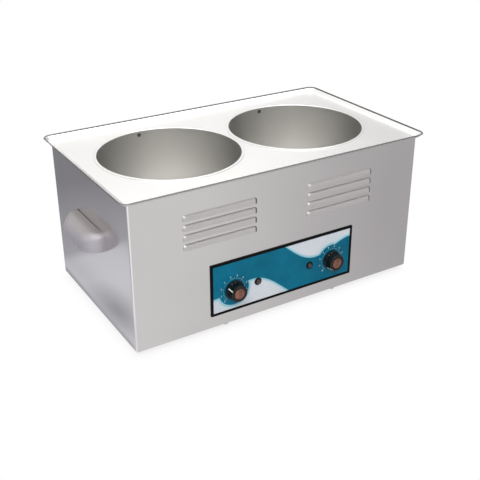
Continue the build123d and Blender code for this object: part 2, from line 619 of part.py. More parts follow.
# Heater band, blanket, cut-out and bulb of each well
band_screw_y = BAND_OUT_R + BAND_SCREW_OUT
band_screw_z = BAND_Z + BAND_H / 2
for side, sign in SIDES:
    mid = (sign * WELL_X, 0)
    with BuildPart() as band:
        with BuildSketch(Plane.XY.offset(BAND_Z)):
            with Locations(mid):
                Circle(BAND_OUT_R)
            with Locations((mid[0], BAND_OUT_R + BAND_EAR / 2 - BAND_T / 2)):
                Rectangle(BAND_SPLIT + 2 * BAND_EAR_T, BAND_EAR + BAND_T)
            with Locations(mid):
                Circle(BAND_IN_R, mode=Mode.SUBTRACT)
            with Locations((mid[0], BAND_OUT_R)):
                Rectangle(BAND_SPLIT, 4 * BAND_EAR, mode=Mode.SUBTRACT)
        extrude(amount=BAND_H)
        rod((mid[0] - BAND_SPLIT, band_screw_y, band_screw_z), (1, 0, 0), M4_R + HOLE_FIT,
            2 * BAND_SPLIT, Mode.SUBTRACT)
    band.part.label = f"{side}_heater_band"
    export_step(band.part, f"parts/{side}_heater_band.step")

    with BuildPart() as blanket:
        with BuildSketch(Plane.XY.offset(BLANKET_Z)):
            with Locations(mid):
                Circle(BAND_OUT_R + BLANKET_FIT + BLANKET_T)
                Circle(BAND_OUT_R + BLANKET_FIT, mode=Mode.SUBTRACT)
            with Locations((0, 0)):
                Rectangle(WELL_PITCH, BLANKET_MOUTH, mode=Mode.SUBTRACT)
        extrude(amount=BLANKET_H)
        with BuildSketch(Plane.XY.offset(BLANKET_Z)):
            with Locations((mid[0], BAND_OUT_R)):
                Rectangle(BLANKET_SLOT, 4 * BLANKET_T)
        extrude(amount=BAND_Z + BAND_H + BLANKET_SLOT_OVER - BLANKET_Z, mode=Mode.SUBTRACT)
    blanket.part.label = f"{side}_insulation"
    export_step(blanket.part, f"parts/{side}_insulation.step")

    with BuildPart() as cutout:
        with BuildSketch(Plane.XY.offset(WELL_UNDER_Z)):
            with Locations((mid[0], CUTOUT_Y)):
                Circle(CUTOUT_R)
        extrude(amount=-CUTOUT_H)
        with BuildSketch(Plane.XY.offset(WELL_UNDER_Z)):
            with Locations((mid[0], CUTOUT_Y)):
                SlotOverall(CUTOUT_PITCH + CUTOUT_TAB_W, CUTOUT_TAB_W)
        extrude(amount=-CUTOUT_TAB_T)
        with BuildSketch(Plane.XY.offset(WELL_UNDER_Z - CUTOUT_H)):
            with Locations((mid[0], CUTOUT_Y)):
                with GridLocations(CUTOUT_R, 0, 2, 1):
                    Rectangle(TAB_T, TAB_W)
        extrude(amount=-TAB_L)
        for end in (-1, 1):
            rod((mid[0] + end * CUTOUT_PITCH / 2, CUTOUT_Y, WELL_UNDER_Z), DOWN, M3_R + HOLE_FIT,
                2 * CUTOUT_TAB_T, Mode.SUBTRACT)
    cutout.part.label = f"{side}_cutout"
    export_step(cutout.part, f"parts/{side}_cutout.step")

    # Bulb against the well, with its fine tube run to the thermostat
    bulb_z = WELL_UNDER_Z - BULB_R
    bulb_end = mid[0] - sign * BULB_L / 2
    stat_back_y = INNER_FRONT_Y + STAT_PLATE_T + STAT_D
    tube_x = sign * (DIAL_X - TUBE_IN)
    tube_turn_x = bulb_end - sign * TUBE_LEAD
    with BuildPart() as bulb:
        rod((bulb_end, BULB_Y, bulb_z), (sign, 0, 0), BULB_R, BULB_L)
        with BuildLine() as tube_line:
            FilletPolyline(
                (bulb_end, BULB_Y, bulb_z),
                (tube_turn_x, BULB_Y, bulb_z),
                (tube_turn_x, (BULB_Y + stat_back_y) / 2, DIAL_ABS_Z),
                (tube_x, (BULB_Y + stat_back_y) / 2, DIAL_ABS_Z),
                (tube_x, stat_back_y, DIAL_ABS_Z),
                radius=TUBE_BEND_R,
            )
        with BuildSketch(Plane((bulb_end, BULB_Y, bulb_z), z_dir=(-sign, 0, 0))):
            Circle(TUBE_R)
        sweep(path=tube_line.line)
    bulb.part.label = f"{side}_bulb"
    export_step(bulb.part, f"parts/{side}_bulb.step")

with BuildPart() as band_screws:
    for sign in (-1, 1):
        ear_x = BAND_SPLIT / 2 + BAND_EAR_T
        pan_screw((sign * WELL_X - ear_x, band_screw_y, band_screw_z), (1, 0, 0), M4_R, M4_HEAD_R,
                  M4_HEAD_H, 2 * ear_x + M4_NUT_H + NUT_OVER)
        hexagon((sign * WELL_X + ear_x, band_screw_y, band_screw_z), (1, 0, 0), M4_NUT_AF, M4_NUT_H,
                M4_R + THREAD_FIT)
band_screws.part.label = "band_screws"
export_step(band_screws.part, "parts/band_screws.step")

with BuildPart() as cutout_nuts:
    for sign in (-1, 1):
        for end in (-1, 1):
            hexagon((sign * WELL_X + end * CUTOUT_PITCH / 2, CUTOUT_Y, WELL_UNDER_Z - CUTOUT_TAB_T),
                    DOWN, M3_NUT_AF, M3_NUT_H, M3_R + THREAD_FIT)
cutout_nuts.part.label = "cutout_nuts"
export_step(cutout_nuts.part, "parts/cutout_nuts.step")

# Saddles that hold the bulbs against the wells
with BuildPart() as bulb_saddles:
    for sign in (-1, 1):
        saddle_z = WELL_UNDER_Z - BULB_R
        strap_r = BULB_R + SADDLE_FIT
        strap_l = SADDLE_REACH + SADDLE_END
        with BuildSketch(Plane.YZ.offset(sign * WELL_X - SADDLE_W / 2)) as section:
            with Locations((BULB_Y, saddle_z)):
                Circle(strap_r + SADDLE_T)
            with Locations((BULB_Y - strap_l / 2, WELL_UNDER_Z - SADDLE_T / 2)):
                Rectangle(strap_l, SADDLE_T)
            with Locations((BULB_Y, saddle_z)):
                Circle(strap_r, mode=Mode.SUBTRACT)
            with Locations((BULB_Y, WELL_UNDER_Z + 2 * BULB_R)):
                Rectangle(8 * BULB_R, 4 * BULB_R, mode=Mode.SUBTRACT)
        extrude(section.sketch, amount=SADDLE_W)
        rod((sign * WELL_X, BULB_Y - SADDLE_REACH, WELL_UNDER_Z + SADDLE_T), DOWN, M3_R + HOLE_FIT,
            3 * SADDLE_T, Mode.SUBTRACT)
bulb_saddles.part.label = "bulb_saddles"
export_step(bulb_saddles.part, "parts/bulb_saddles.step")

with BuildPart() as saddle_nuts:
    for sign in (-1, 1):
        hexagon((sign * WELL_X, BULB_Y - SADDLE_REACH, WELL_UNDER_Z - SADDLE_T), DOWN, M3_NUT_AF,
                M3_NUT_H, M3_R + THREAD_FIT)
saddle_nuts.part.label = "saddle_nuts"
export_step(saddle_nuts.part, "parts/saddle_nuts.step")

# Control panel: black frame and coloured label
with BuildPart() as panel_frame:
    with BuildSketch(Plane.XZ.offset(-FRONT_Y)):
        with Locations((0, PANEL_ABS_Z)):
            RectangleRounded(PANEL_W, PANEL_H, PANEL_R)
            Rectangle(PANEL_W - 2 * PANEL_BORDER, PANEL_H - 2 * PANEL_BORDER, mode=Mode.SUBTRACT)
    extrude(amount=PANEL_T)
    chamfer(panel_frame.faces().sort_by(Axis.Y)[0].edges(), PANEL_EDGE)
panel_frame.part.label = "panel_frame"
export_step(panel_frame.part, "parts/panel_frame.step")

label_w = PANEL_W - 2 * PANEL_BORDER - 2 * LABEL_FIT
label_h = PANEL_H - 2 * PANEL_BORDER - 2 * LABEL_FIT
with BuildPart() as panel_label:
    with BuildSketch(Plane.XZ.offset(-FRONT_Y)):
        with Locations((0, PANEL_ABS_Z)):
            Rectangle(label_w, label_h)
        with Locations((-DIAL_X, DIAL_ABS_Z), (DIAL_X, DIAL_ABS_Z)):
            Circle(BUSH_R + BUSH_HOLE_FIT, mode=Mode.SUBTRACT)
        with Locations((-LAMP_X, LAMP_ABS_Z), (LAMP_X, LAMP_ABS_Z)):
            Circle(LAMP_R + LAMP_HOLE_FIT, mode=Mode.SUBTRACT)
    extrude(amount=LABEL_T)
panel_label.part.label = "panel_label"
export_step(panel_label.part, "parts/panel_label.step")

# Thermostats, their nuts, and the dials on their shafts
bush_front_y = LABEL_Y - NUT_T - BUSH_OVER
shaft_back_y = INNER_FRONT_Y + SHAFT_IN
shaft_front_y = KNOB_FACE_Y + SHAFT_WEB + SHAFT_END_GAP
for side, sign in SIDES:
    dial = (sign * DIAL_X, 0, DIAL_ABS_Z)
    with BuildPart() as stat:
        with BuildSketch(Plane.XZ.offset(-INNER_FRONT_Y)):
            with Locations((sign * DIAL_X, DIAL_ABS_Z)):
                RectangleRounded(STAT_PLATE_W, STAT_PLATE_H, STAT_PLATE_R)
        extrude(amount=-STAT_PLATE_T)
        with BuildSketch(Plane.XZ.offset(-INNER_FRONT_Y - STAT_PLATE_T)):
            with Locations((sign * DIAL_X, DIAL_ABS_Z)):
                RectangleRounded(STAT_W, STAT_H, STAT_R)
        extrude(amount=-STAT_D)
        with BuildSketch(Plane.XZ.offset(-stat_back_y)):
            with Locations((sign * (DIAL_X + STAT_TAB_X), DIAL_ABS_Z)):
                with GridLocations(0, STAT_TAB_PITCH, 1, STAT_TABS):
                    Rectangle(TAB_W, TAB_T)
        extrude(amount=-TAB_L)
        rod((sign * DIAL_X, INNER_FRONT_Y, DIAL_ABS_Z), FORWARD, BUSH_R, INNER_FRONT_Y - bush_front_y)
        rod((sign * DIAL_X, shaft_back_y + SHAFT_END_ROOM, DIAL_ABS_Z), FORWARD, SHAFT_R + SHAFT_FIT,
            2 * (shaft_back_y - bush_front_y), Mode.SUBTRACT)
    stat.part.label = f"{side}_thermostat"
    export_step(stat.part, f"parts/{side}_thermostat.step")

    with BuildPart() as shaft:
        rod((dial[0], shaft_back_y, dial[2]), FORWARD, SHAFT_R, shaft_back_y - shaft_front_y)
        flat_y = KNOB_BACK_Y - KNOB_HOLLOW_L
        with BuildSketch(Plane.XZ.offset(-flat_y)):
            with Locations((dial[0], dial[2] + SHAFT_FLAT + SHAFT_R)):
                Rectangle(4 * SHAFT_R, 2 * SHAFT_R)
        extrude(amount=2 * KNOB_L, mode=Mode.SUBTRACT)
    shaft.part.label = f"{side}_shaft"
    export_step(shaft.part, f"parts/{side}_shaft.step")

    turn = math.radians(DIAL_REST[side])
    toward = Vector(-math.sin(turn), 0, math.cos(turn))
    knob_back = (dial[0], KNOB_BACK_Y, dial[2])
    pointer_plane = Plane(knob_back, x_dir=toward, z_dir=toward.cross(Vector(FORWARD)))
    inner = POINTER_T + POINTER_FIT
    step_h = KNOB_SKIRT_T + KNOB_ROUND
    with BuildPart() as knob:
        turned(knob_back, FORWARD, [
            (0, 0), (KNOB_R - KNOB_EDGE, 0), (KNOB_R, KNOB_EDGE), (KNOB_R, KNOB_SKIRT_T),
            (KNOB_GRIP_R, step_h), (KNOB_FACE_R, KNOB_L - KNOB_ROUND),
            (KNOB_FACE_R - KNOB_ROUND, KNOB_L), (0, KNOB_L),
        ])
        # Flutes round the grip, the pointer midway between two of them
        with BuildSketch(Plane.XZ.offset(-(KNOB_BACK_Y - KNOB_SKIRT_T - KNOB_FLUTE_UP))):
            with Locations((dial[0], dial[2])):
                first = 90 + DIAL_REST[side] + 180 / KNOB_FLUTES
                with PolarLocations(KNOB_GRIP_R + KNOB_FLUTE_OUT, KNOB_FLUTES, start_angle=first):
                    Circle(KNOB_FLUTE_R)
        extrude(amount=KNOB_L, mode=Mode.SUBTRACT)
        # Hollow back that clears the thermostat's nut
        rod(knob_back, FORWARD, KNOB_HOLLOW_R, KNOB_HOLLOW_L, Mode.SUBTRACT)
        # Bore with a flat for the shaft
        with BuildSketch(Plane.XZ.offset(-KNOB_BACK_Y)):
            with Locations((dial[0], dial[2])):
                Circle(SHAFT_R + KNOB_FIT)
            with Locations((dial[0], dial[2] + SHAFT_FLAT + KNOB_FIT + SHAFT_R)):
                Rectangle(4 * SHAFT_R, 2 * SHAFT_R, mode=Mode.SUBTRACT)
        extrude(amount=KNOB_L - SHAFT_WEB, mode=Mode.SUBTRACT)
        # Seat of the cap, and the slot of the pointer across the face and down the side
        rod((dial[0], KNOB_FACE_Y, dial[2]), BACKWARD, CAP_R + CAP_FIT, CAP_T, Mode.SUBTRACT)
        with BuildSketch(pointer_plane) as slot:
            with BuildLine():
                Polyline(
                    (CAP_R + POINTER_START - POINTER_FIT, 2 * KNOB_L),
                    (CAP_R + POINTER_START - POINTER_FIT, KNOB_L - inner),
                    (KNOB_FACE_R - inner, KNOB_L - inner), (KNOB_GRIP_R - inner, step_h - POINTER_FIT),
                    (2 * KNOB_R, step_h - POINTER_FIT), (2 * KNOB_R, 2 * KNOB_L), close=True,
                )
            make_face()
        extrude(slot.sketch, amount=POINTER_W / 2 + POINTER_FIT, both=True, mode=Mode.SUBTRACT)
    knob.part.label = f"{side}_knob"
    export_step(knob.part, f"parts/{side}_knob.step")

    with BuildPart() as cap:
        with BuildSketch(side_plane((dial[0], KNOB_FACE_Y, dial[2]), FORWARD)):
            with BuildLine():
                Polyline((0, CAP_DOME), (0, -CAP_T), (CAP_R, -CAP_T), (CAP_R, 0))
                TangentArc((0, CAP_DOME), (CAP_R, 0), tangent=(1, 0))
            make_face()
        revolve(axis=Axis((dial[0], KNOB_FACE_Y, dial[2]), FORWARD))
    cap.part.label = f"{side}_knob_cap"
    export_step(cap.part, f"parts/{side}_knob_cap.step")

    with BuildPart() as pointer:
        with BuildSketch(pointer_plane) as strip:
            with BuildLine():
                Polyline(
                    (CAP_R + POINTER_START, KNOB_L - POINTER_T), (CAP_R + POINTER_START, KNOB_L),
                    (KNOB_FACE_R - KNOB_ROUND, KNOB_L), (KNOB_FACE_R, KNOB_L - KNOB_ROUND),
                    (KNOB_GRIP_R, step_h), (KNOB_GRIP_R - POINTER_T, step_h),
                    (KNOB_FACE_R - POINTER_T, KNOB_L - POINTER_T), close=True,
                )
            make_face()
        extrude(strip.sketch, amount=POINTER_W / 2, both=True)
    pointer.part.label = f"{side}_pointer"
    export_step(pointer.part, f"parts/{side}_pointer.step")

    # Indicator lamp: bezel and body, lens, and the clip behind the wall
    lamp_mid = (sign * LAMP_X, LABEL_Y, LAMP_ABS_Z)
    clip_face = INNER_FRONT_Y - LABEL_Y
    with BuildPart() as lamp:
        turned(lamp_mid, BACKWARD, [
            (0, -LAMP_BEZEL_T), (LAMP_BEZEL_R - LAMP_BEZEL_EDGE, -LAMP_BEZEL_T),
            (LAMP_BEZEL_R, LAMP_BEZEL_EDGE - LAMP_BEZEL_T), (LAMP_BEZEL_R, 0), (LAMP_R, 0),
            (LAMP_R, clip_face + LAMP_L), (0, clip_face + LAMP_L),
        ])
        rod((lamp_mid[0], LABEL_Y + LENS_SEAT, lamp_mid[2]), FORWARD, LENS_R + LENS_FIT,
            2 * (LENS_SEAT + LAMP_BEZEL_T), Mode.SUBTRACT)
        with BuildSketch(Plane.XZ.offset(-(INNER_FRONT_Y + LAMP_L))):
            with Locations((sign * LAMP_X, LAMP_ABS_Z)):
                with GridLocations(LAMP_TAB_PITCH, 0, 2, 1):
                    Rectangle(TAB_T, LAMP_TAB_W)
        extrude(amount=-TAB_L)
    lamp.part.label = f"{side}_lamp_body"
    export_step(lamp.part, f"parts/{side}_lamp_body.step")

    with BuildPart() as lens:
        with BuildSketch(side_plane(lamp_mid, FORWARD)):
            with BuildLine():
                Polyline(
                    (0, LAMP_BEZEL_T + LENS_DOME), (0, LENS_FIT - LENS_SEAT), (LENS_R, LENS_FIT - LENS_SEAT),
                    (LENS_R, LAMP_BEZEL_T),
                )
                TangentArc((0, LAMP_BEZEL_T + LENS_DOME), (LENS_R, LAMP_BEZEL_T), tangent=(1, 0))
            make_face()
        revolve(axis=Axis(lamp_mid, FORWARD))
    lens.part.label = f"{side}_lamp_lens"
    export_step(lens.part, f"parts/{side}_lamp_lens.step")

with BuildPart() as lamp_clips:
    for sign in (-1, 1):
        with BuildSketch(Plane.XZ.offset(-INNER_FRONT_Y)) as ring:
            with Locations((sign * LAMP_X, LAMP_ABS_Z)):
                Circle(CLIP_R)
                Circle(LAMP_R + THREAD_FIT, mode=Mode.SUBTRACT)
        extrude(ring.sketch, amount=-CLIP_T)
lamp_clips.part.label = "lamp_clips"
export_step(lamp_clips.part, "parts/lamp_clips.step")

with BuildPart() as thermostat_nuts:
    for sign in (-1, 1):
        hexagon((sign * DIAL_X, LABEL_Y, DIAL_ABS_Z), FORWARD, STAT_NUT_AF, NUT_T, BUSH_R + THREAD_FIT)
thermostat_nuts.part.label = "thermostat_nuts"
export_step(thermostat_nuts.part, "parts/thermostat_nuts.step")


# Cup handles, open below, with bosses for screws from inside the housing
def cup(width, out, height, corner_r):
    """Cup against the plane x = 0, mouth at z = 0: a rounded section run along Y, turned a quarter
    about the wall line at each end."""
    run = width / 2 - out
    with BuildPart() as form:
        for end in (-1, 1):
            with BuildSketch(Plane.XZ.offset(-end * run)) as section:
                with BuildLine():
                    Polyline((0, 0), (out, 0), (out, height - corner_r))
                    RadiusArc((out, height - corner_r), (out - corner_r, height), -corner_r)
                    Polyline((out - corner_r, height), (0, height), (0, 0))
                make_face()
            revolve(section.sketch, axis=Axis((0, end * run, 0), (0, 0, end)), revolution_arc=90)
        extrude(section.sketch, amount=2 * run)
    return form.part


cup_outer = cup(HANDLE_W, HANDLE_OUT, HANDLE_H, HANDLE_CORNER_R)
cup_inner = cup(
    HANDLE_W - 2 * HANDLE_T, HANDLE_OUT - HANDLE_T, HANDLE_H - HANDLE_T, HANDLE_CORNER_R - HANDLE_T
)
for side, sign in SIDES:
    wall_x = sign * BODY_W / 2
    with BuildPart() as handle:
        add(cup_outer)
        add(cup_inner, mode=Mode.SUBTRACT)
        for end in (-1, 1):
            rod((0, end * HANDLE_SCREW_Y, HANDLE_H - HANDLE_SCREW_DROP), (1, 0, 0), HANDLE_BOSS_R,
                HANDLE_BOSS_L)
        add(cup_outer, mode=Mode.INTERSECT)
        for end in (-1, 1):
            rod((0, end * HANDLE_SCREW_Y, HANDLE_H - HANDLE_SCREW_DROP), (1, 0, 0), M4_R + THREAD_FIT,
                HANDLE_HOLE_L, Mode.SUBTRACT)
        # Mouth that climbs from the outer lip to the wall
        with BuildSketch(Plane.XZ):
            Polygon((0, 0), (HANDLE_OUT, 0), (0, HANDLE_MOUTH_RISE), align=None)
        extrude(amount=HANDLE_W, both=True, mode=Mode.SUBTRACT)
        if sign < 0:
            mirror(about=Plane.YZ, mode=Mode.REPLACE)
    placed = Location((wall_x, 0, HANDLE_LOW_Z)) * handle.part
    placed.label = f"{side}_handle"
    export_step(placed, f"parts/{side}_handle.step")

with BuildPart() as handle_screws:
    for sign in (-1, 1):
        for end in (-1, 1):
            pan_screw((sign * (BODY_W / 2 - SHEET_T), end * HANDLE_SCREW_Y, HANDLE_SCREW_Z), (sign, 0, 0),
                      M4_R, M4_HEAD_R, M4_HEAD_H, SHEET_T + HANDLE_BITE)
handle_screws.part.label = "handle_screws"
export_step(handle_screws.part, "parts/handle_screws.step")

# Feet, their screws and nuts
recess_r = M4_HEAD_R + FOOT_RECESS_FIT
for (x, y), name in zip(FEET, ("front_left_foot", "rear_left_foot", "front_right_foot", "rear_right_foot")):
    with BuildPart() as foot:
        turned((x, y, BASE_PLATE_Z), DOWN, [
            (M4_R + HOLE_FIT, 0), (FOOT_R, 0), (FOOT_TIP_R + FOOT_EDGE, BASE_PLATE_Z - FOOT_EDGE),
            (FOOT_TIP_R, BASE_PLATE_Z), (recess_r, BASE_PLATE_Z), (recess_r, BASE_PLATE_Z - FOOT_RECESS),
            (M4_R + HOLE_FIT, BASE_PLATE_Z - FOOT_RECESS),
        ])
    foot.part.label = name
    export_step(foot.part, f"parts/{name}.step")

with BuildPart() as foot_screws:
    for x, y in FEET:
        pan_screw((x, y, FOOT_RECESS), UP, M4_R, M4_HEAD_R, FOOT_HEAD_H,
                  BASE_Z - FOOT_RECESS + M4_NUT_H + NUT_OVER)
        hexagon((x, y, BASE_Z), UP, M4_NUT_AF, M4_NUT_H, M4_R + THREAD_FIT)
foot_screws.part.label = "foot_screws"
export_step(foot_screws.part, "parts/foot_screws.step")

with BuildPart() as base_screws:
    for x, y in BASE_SCREWS:
        pan_screw((x, y, BASE_PLATE_Z), UP, M4_R, M4_HEAD_R, M4_HEAD_H, SHEET_SCREW_L)
base_screws.part.label = "base_screws"
export_step(base_screws.part, "parts/base_screws.step")

with BuildPart() as rear_screws:
    for x, z in REAR_SCREWS:
        pan_screw((x, REAR_Y, z), FORWARD, M4_R, M4_HEAD_R, M4_HEAD_H, SHEET_SCREW_L)
rear_screws.part.label = "rear_screws"
export_step(rear_screws.part, "parts/rear_screws.step")

# Cable gland in the rear panel: body, locknut inside, dome nut outside, rubber seal
gland = (GLAND_X, REAR_Y, GLAND_ABS_Z)
nose_y = GLAND_FLANGE_T + GLAND_NOSE_L
seal_end = GLAND_FLANGE_T + SEAL_L
with BuildPart() as gland_body:
    with BuildSketch(Plane(gland, z_dir=BACKWARD)):
        RegularPolygon(GLAND_AF / 2, 6, major_radius=False)
    extrude(amount=GLAND_FLANGE_T)
    rod(gland, FORWARD, GLAND_THREAD_R, GLAND_TAIL_L)
    rod(gland, BACKWARD, GLAND_NOSE_R, nose_y)
    rod((GLAND_X, REAR_Y - 2 * GLAND_TAIL_L, GLAND_ABS_Z), BACKWARD, GLAND_BORE_R, 4 * GLAND_TAIL_L,
        Mode.SUBTRACT)
    rod((GLAND_X, REAR_Y + GLAND_FLANGE_T, GLAND_ABS_Z), BACKWARD, SEAL_OUT_R + SEAL_FIT, 2 * GLAND_NOSE_L,
        Mode.SUBTRACT)
gland_body.part.label = "gland_body"
export_step(gland_body.part, "parts/gland_body.step")

with BuildPart() as gland_locknut:
    hexagon((GLAND_X, REAR_Y - SHEET_T, GLAND_ABS_Z), FORWARD, GLAND_AF, LOCKNUT_T,
            GLAND_THREAD_R + THREAD_FIT)
gland_locknut.part.label = "gland_locknut"
export_step(gland_locknut.part, "parts/gland_locknut.step")

with BuildPart() as gland_seal:
    turned(gland, BACKWARD, [
        (SEAL_R, GLAND_FLANGE_T), (SEAL_OUT_R, GLAND_FLANGE_T), (SEAL_OUT_R, nose_y),
        (SEAL_R + SEAL_TIP_T, seal_end), (SEAL_R, seal_end),
    ])
gland_seal.part.label = "gland_seal"
export_step(gland_seal.part, "parts/gland_seal.step")

dome_start = GLAND_FLANGE_T + GLAND_SEAT_GAP
dome_end = dome_start + GLAND_DOME_L
nose_room_r = GLAND_NOSE_R + GLAND_NUT_FIT
with BuildPart() as gland_dome_nut:
    with BuildSketch(Plane((GLAND_X, REAR_Y + dome_start, GLAND_ABS_Z), z_dir=BACKWARD)):
        RegularPolygon(GLAND_AF / 2, 6, major_radius=False)
    extrude(amount=GLAND_HEX_L)
    with BuildSketch(side_plane(gland, BACKWARD)):
        with BuildLine():
            shoulder = (GLAND_AF / 2, dome_start + GLAND_SHOULDER)
            TangentArc(shoulder, (GLAND_DOME_TIP_R, dome_end), tangent=(0, 1))
            Polyline(
                (GLAND_DOME_TIP_R, dome_end), (0, dome_end), (0, dome_start), (GLAND_AF / 2, dome_start),
                shoulder,
            )
        make_face()
    revolve(axis=Axis(gland, BACKWARD))
    turned(gland, BACKWARD, [
        (0, 0), (nose_room_r, 0), (nose_room_r, nose_y + GLAND_SEAT_GAP),
        (SEAL_R + SEAL_TIP_T + GLAND_SEAT_GAP, seal_end + GLAND_SEAT_GAP),
        (GLAND_BORE_R, seal_end + GLAND_SEAT_GAP), (GLAND_BORE_R, 2 * dome_end), (0, 2 * dome_end),
    ], Mode.SUBTRACT)
gland_dome_nut.part.label = "gland_dome_nut"
export_step(gland_dome_nut.part, "parts/gland_dome_nut.step")

# Terminal block with brass barrels and screws
barrel_z = BASE_Z + BARREL_Z
poles = [(BLOCK_X + (i - (BLOCK_POLES - 1) / 2) * BLOCK_POLE, BLOCK_Y) for i in range(BLOCK_POLES)]
with BuildPart() as terminal_block:
    with BuildSketch(Plane.XY.offset(BASE_Z)):
        with Locations((BLOCK_X, BLOCK_Y)):
            RectangleRounded(BLOCK_W, BLOCK_D, BLOCK_R)
    extrude(amount=BLOCK_H)
    chamfer(terminal_block.faces().sort_by(Axis.Z)[-1].edges(), BLOCK_EDGE)
    for x, y in poles:
        rod((x, y - BLOCK_D, barrel_z), BACKWARD, BARREL_R + THREAD_FIT, 2 * BLOCK_D, Mode.SUBTRACT)
        rod((x, y, barrel_z), UP, M3_R + SCREW_WELL_FIT, BLOCK_H, Mode.SUBTRACT)
terminal_block.part.label = "terminal_block"
export_step(terminal_block.part, "parts/terminal_block.step")

barrel_l = BLOCK_D - BLOCK_LEDGE
with BuildPart() as terminal_barrels:
    for x, y in poles:
        rod((x, y - barrel_l / 2, barrel_z), BACKWARD, BARREL_R, barrel_l)
    for x, y in poles:
        rod((x, y - barrel_l, barrel_z), BACKWARD, BARREL_BORE_R, 2 * barrel_l, Mode.SUBTRACT)
        rod((x, y, barrel_z), UP, M3_R + THREAD_FIT, 2 * BARREL_R, Mode.SUBTRACT)
terminal_barrels.part.label = "terminal_barrels"
export_step(terminal_barrels.part, "parts/terminal_barrels.step")

with BuildPart() as terminal_screws:
    for x, y in poles:
        rod((x, y, barrel_z + BARREL_BORE_R), UP, M3_R, TERMINAL_SCREW_L)
terminal_screws.part.label = "terminal_screws"
export_step(terminal_screws.part, "parts/terminal_screws.step")

with BuildPart() as earth_stud:
    pan_screw((EARTH_X, EARTH_Y, BASE_PLATE_Z), UP, M4_R, M4_HEAD_R, M4_HEAD_H, EARTH_L)
earth_stud.part.label = "earth_stud"
export_step(earth_stud.part, "parts/earth_stud.step")

with BuildPart() as earth_nuts:
    for level in (0, 1):
        hexagon((EARTH_X, EARTH_Y, BASE_Z + level * (M4_NUT_H + EARTH_NUT_GAP)), UP, M4_NUT_AF, M4_NUT_H,
                M4_R + THREAD_FIT)
earth_nuts.part.label = "earth_nuts"
export_step(earth_nuts.part, "parts/earth_nuts.step")
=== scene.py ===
"""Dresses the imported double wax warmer: finer wells, handles and knobs, the printed panel,
procedural finishes, a pale studio and a camera at the photograph's angle. Metres throughout."""

import math

import bmesh
import bpy
import numpy as np
from mathutils import Matrix, Vector


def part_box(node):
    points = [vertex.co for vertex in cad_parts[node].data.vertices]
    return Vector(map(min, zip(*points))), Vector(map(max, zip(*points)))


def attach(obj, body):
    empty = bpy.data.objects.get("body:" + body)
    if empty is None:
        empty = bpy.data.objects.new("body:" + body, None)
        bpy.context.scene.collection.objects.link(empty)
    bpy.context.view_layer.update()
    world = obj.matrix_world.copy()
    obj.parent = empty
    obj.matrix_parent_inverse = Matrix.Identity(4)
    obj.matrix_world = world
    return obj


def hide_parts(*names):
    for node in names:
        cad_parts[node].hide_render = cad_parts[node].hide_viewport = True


MM = 0.001
TAU = 2 * math.pi
FRAME_BODY = "frame"
OUTWARD = {"left": -1, "right": 1}    # the way along X that each side faces

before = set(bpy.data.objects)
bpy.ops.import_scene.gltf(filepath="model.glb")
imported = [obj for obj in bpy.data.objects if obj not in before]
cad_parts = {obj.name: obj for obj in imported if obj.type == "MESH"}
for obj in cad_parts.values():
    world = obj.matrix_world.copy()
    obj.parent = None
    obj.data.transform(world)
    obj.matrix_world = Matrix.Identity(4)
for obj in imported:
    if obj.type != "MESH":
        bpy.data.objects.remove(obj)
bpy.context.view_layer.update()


def middle(node):
    """Centre of a CAD node's box, as an array in metres."""
    low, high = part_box(node)
    return (np.array(low) + np.array(high)) / 2


def srgb(*levels):
    """Screen levels of 0 to 255 as linear colour with full alpha, by the sRGB curve."""
    c = np.array(levels, float) / 255
    linear = np.where(c <= 0.04045, c / 12.92, ((c + 0.055) / 1.055) ** 2.4)
    return (*linear.tolist(), 1.0)


def put(tree, kind, inputs=None, **settings):
    """Adds a node, sets its properties, and links or fills its inputs by name or number."""
    node = tree.nodes.new(kind)
    for key, value in settings.items():
        setattr(node, key, value)
    for key, value in (inputs or {}).items():
        if isinstance(value, bpy.types.NodeSocket):
            tree.links.new(value, node.inputs[key])
        else:
            node.inputs[key].default_value = value
    return node


def arithmetic(tree, operation, *values, clamp=False):
    """One Math node; each value is a number or a socket."""
    node = put(tree, "ShaderNodeMath", dict(enumerate(values)), operation=operation, use_clamp=clamp)
    return node.outputs[0]


def product(tree, *values):
    """Product of several masks or numbers."""
    result = values[0]
    for value in values[1:]:
        result = arithmetic(tree, "MULTIPLY", result, value)
    return result


def largest(tree, *values):
    """Largest of several masks or numbers."""
    result = values[0]
    for value in values[1:]:
        result = arithmetic(tree, "MAXIMUM", result, value)
    return result


def vector_step(tree, operation, *values):
    """One Vector Math node; each value is a triple or a socket. Returns its outputs."""
    return put(tree, "ShaderNodeVectorMath", dict(enumerate(values)), operation=operation).outputs


def axes_of(tree, vector):
    """A vector's X, Y and Z, by name."""
    return put(tree, "ShaderNodeSeparateXYZ", {0: vector}).outputs


def place_in(tree):
    """Place on the object, in metres along its axes."""
    return put(tree, "ShaderNodeTexCoord").outputs["Object"]


def facing_in(tree):
    """The way that the surface faces."""
    return put(tree, "ShaderNodeNewGeometry").outputs["Normal"]


def from_axis(tree, place, centre):
    """Distance of a place from the axis that runs along Y through centre."""
    offset = vector_step(tree, "SUBTRACT", place, centre)[0]
    flat = vector_step(tree, "MULTIPLY", offset, (1, 0, 1))[0]
    return vector_step(tree, "LENGTH", flat)["Value"]


def mix(tree, kind, amount, first, second):
    """One Mix node of a data type; the sockets of that type are the enabled ones."""
    mixer = put(tree, "ShaderNodeMix", data_type=kind)
    for key, value in (("Factor", amount), ("A", first), ("B", second)):
        socket = next(s for s in mixer.inputs if s.name == key and s.enabled)
        if isinstance(value, bpy.types.NodeSocket):
            tree.links.new(value, socket)
        else:
            socket.default_value = value
    return next(s for s in mixer.outputs if s.enabled)


def blend_colours(tree, amount, first, second):
    """Mix of two colours."""
    return mix(tree, "RGBA", amount, first, second)


def between(tree, amount, first, second):
    """Mix of two numbers."""
    return mix(tree, "FLOAT", amount, first, second)


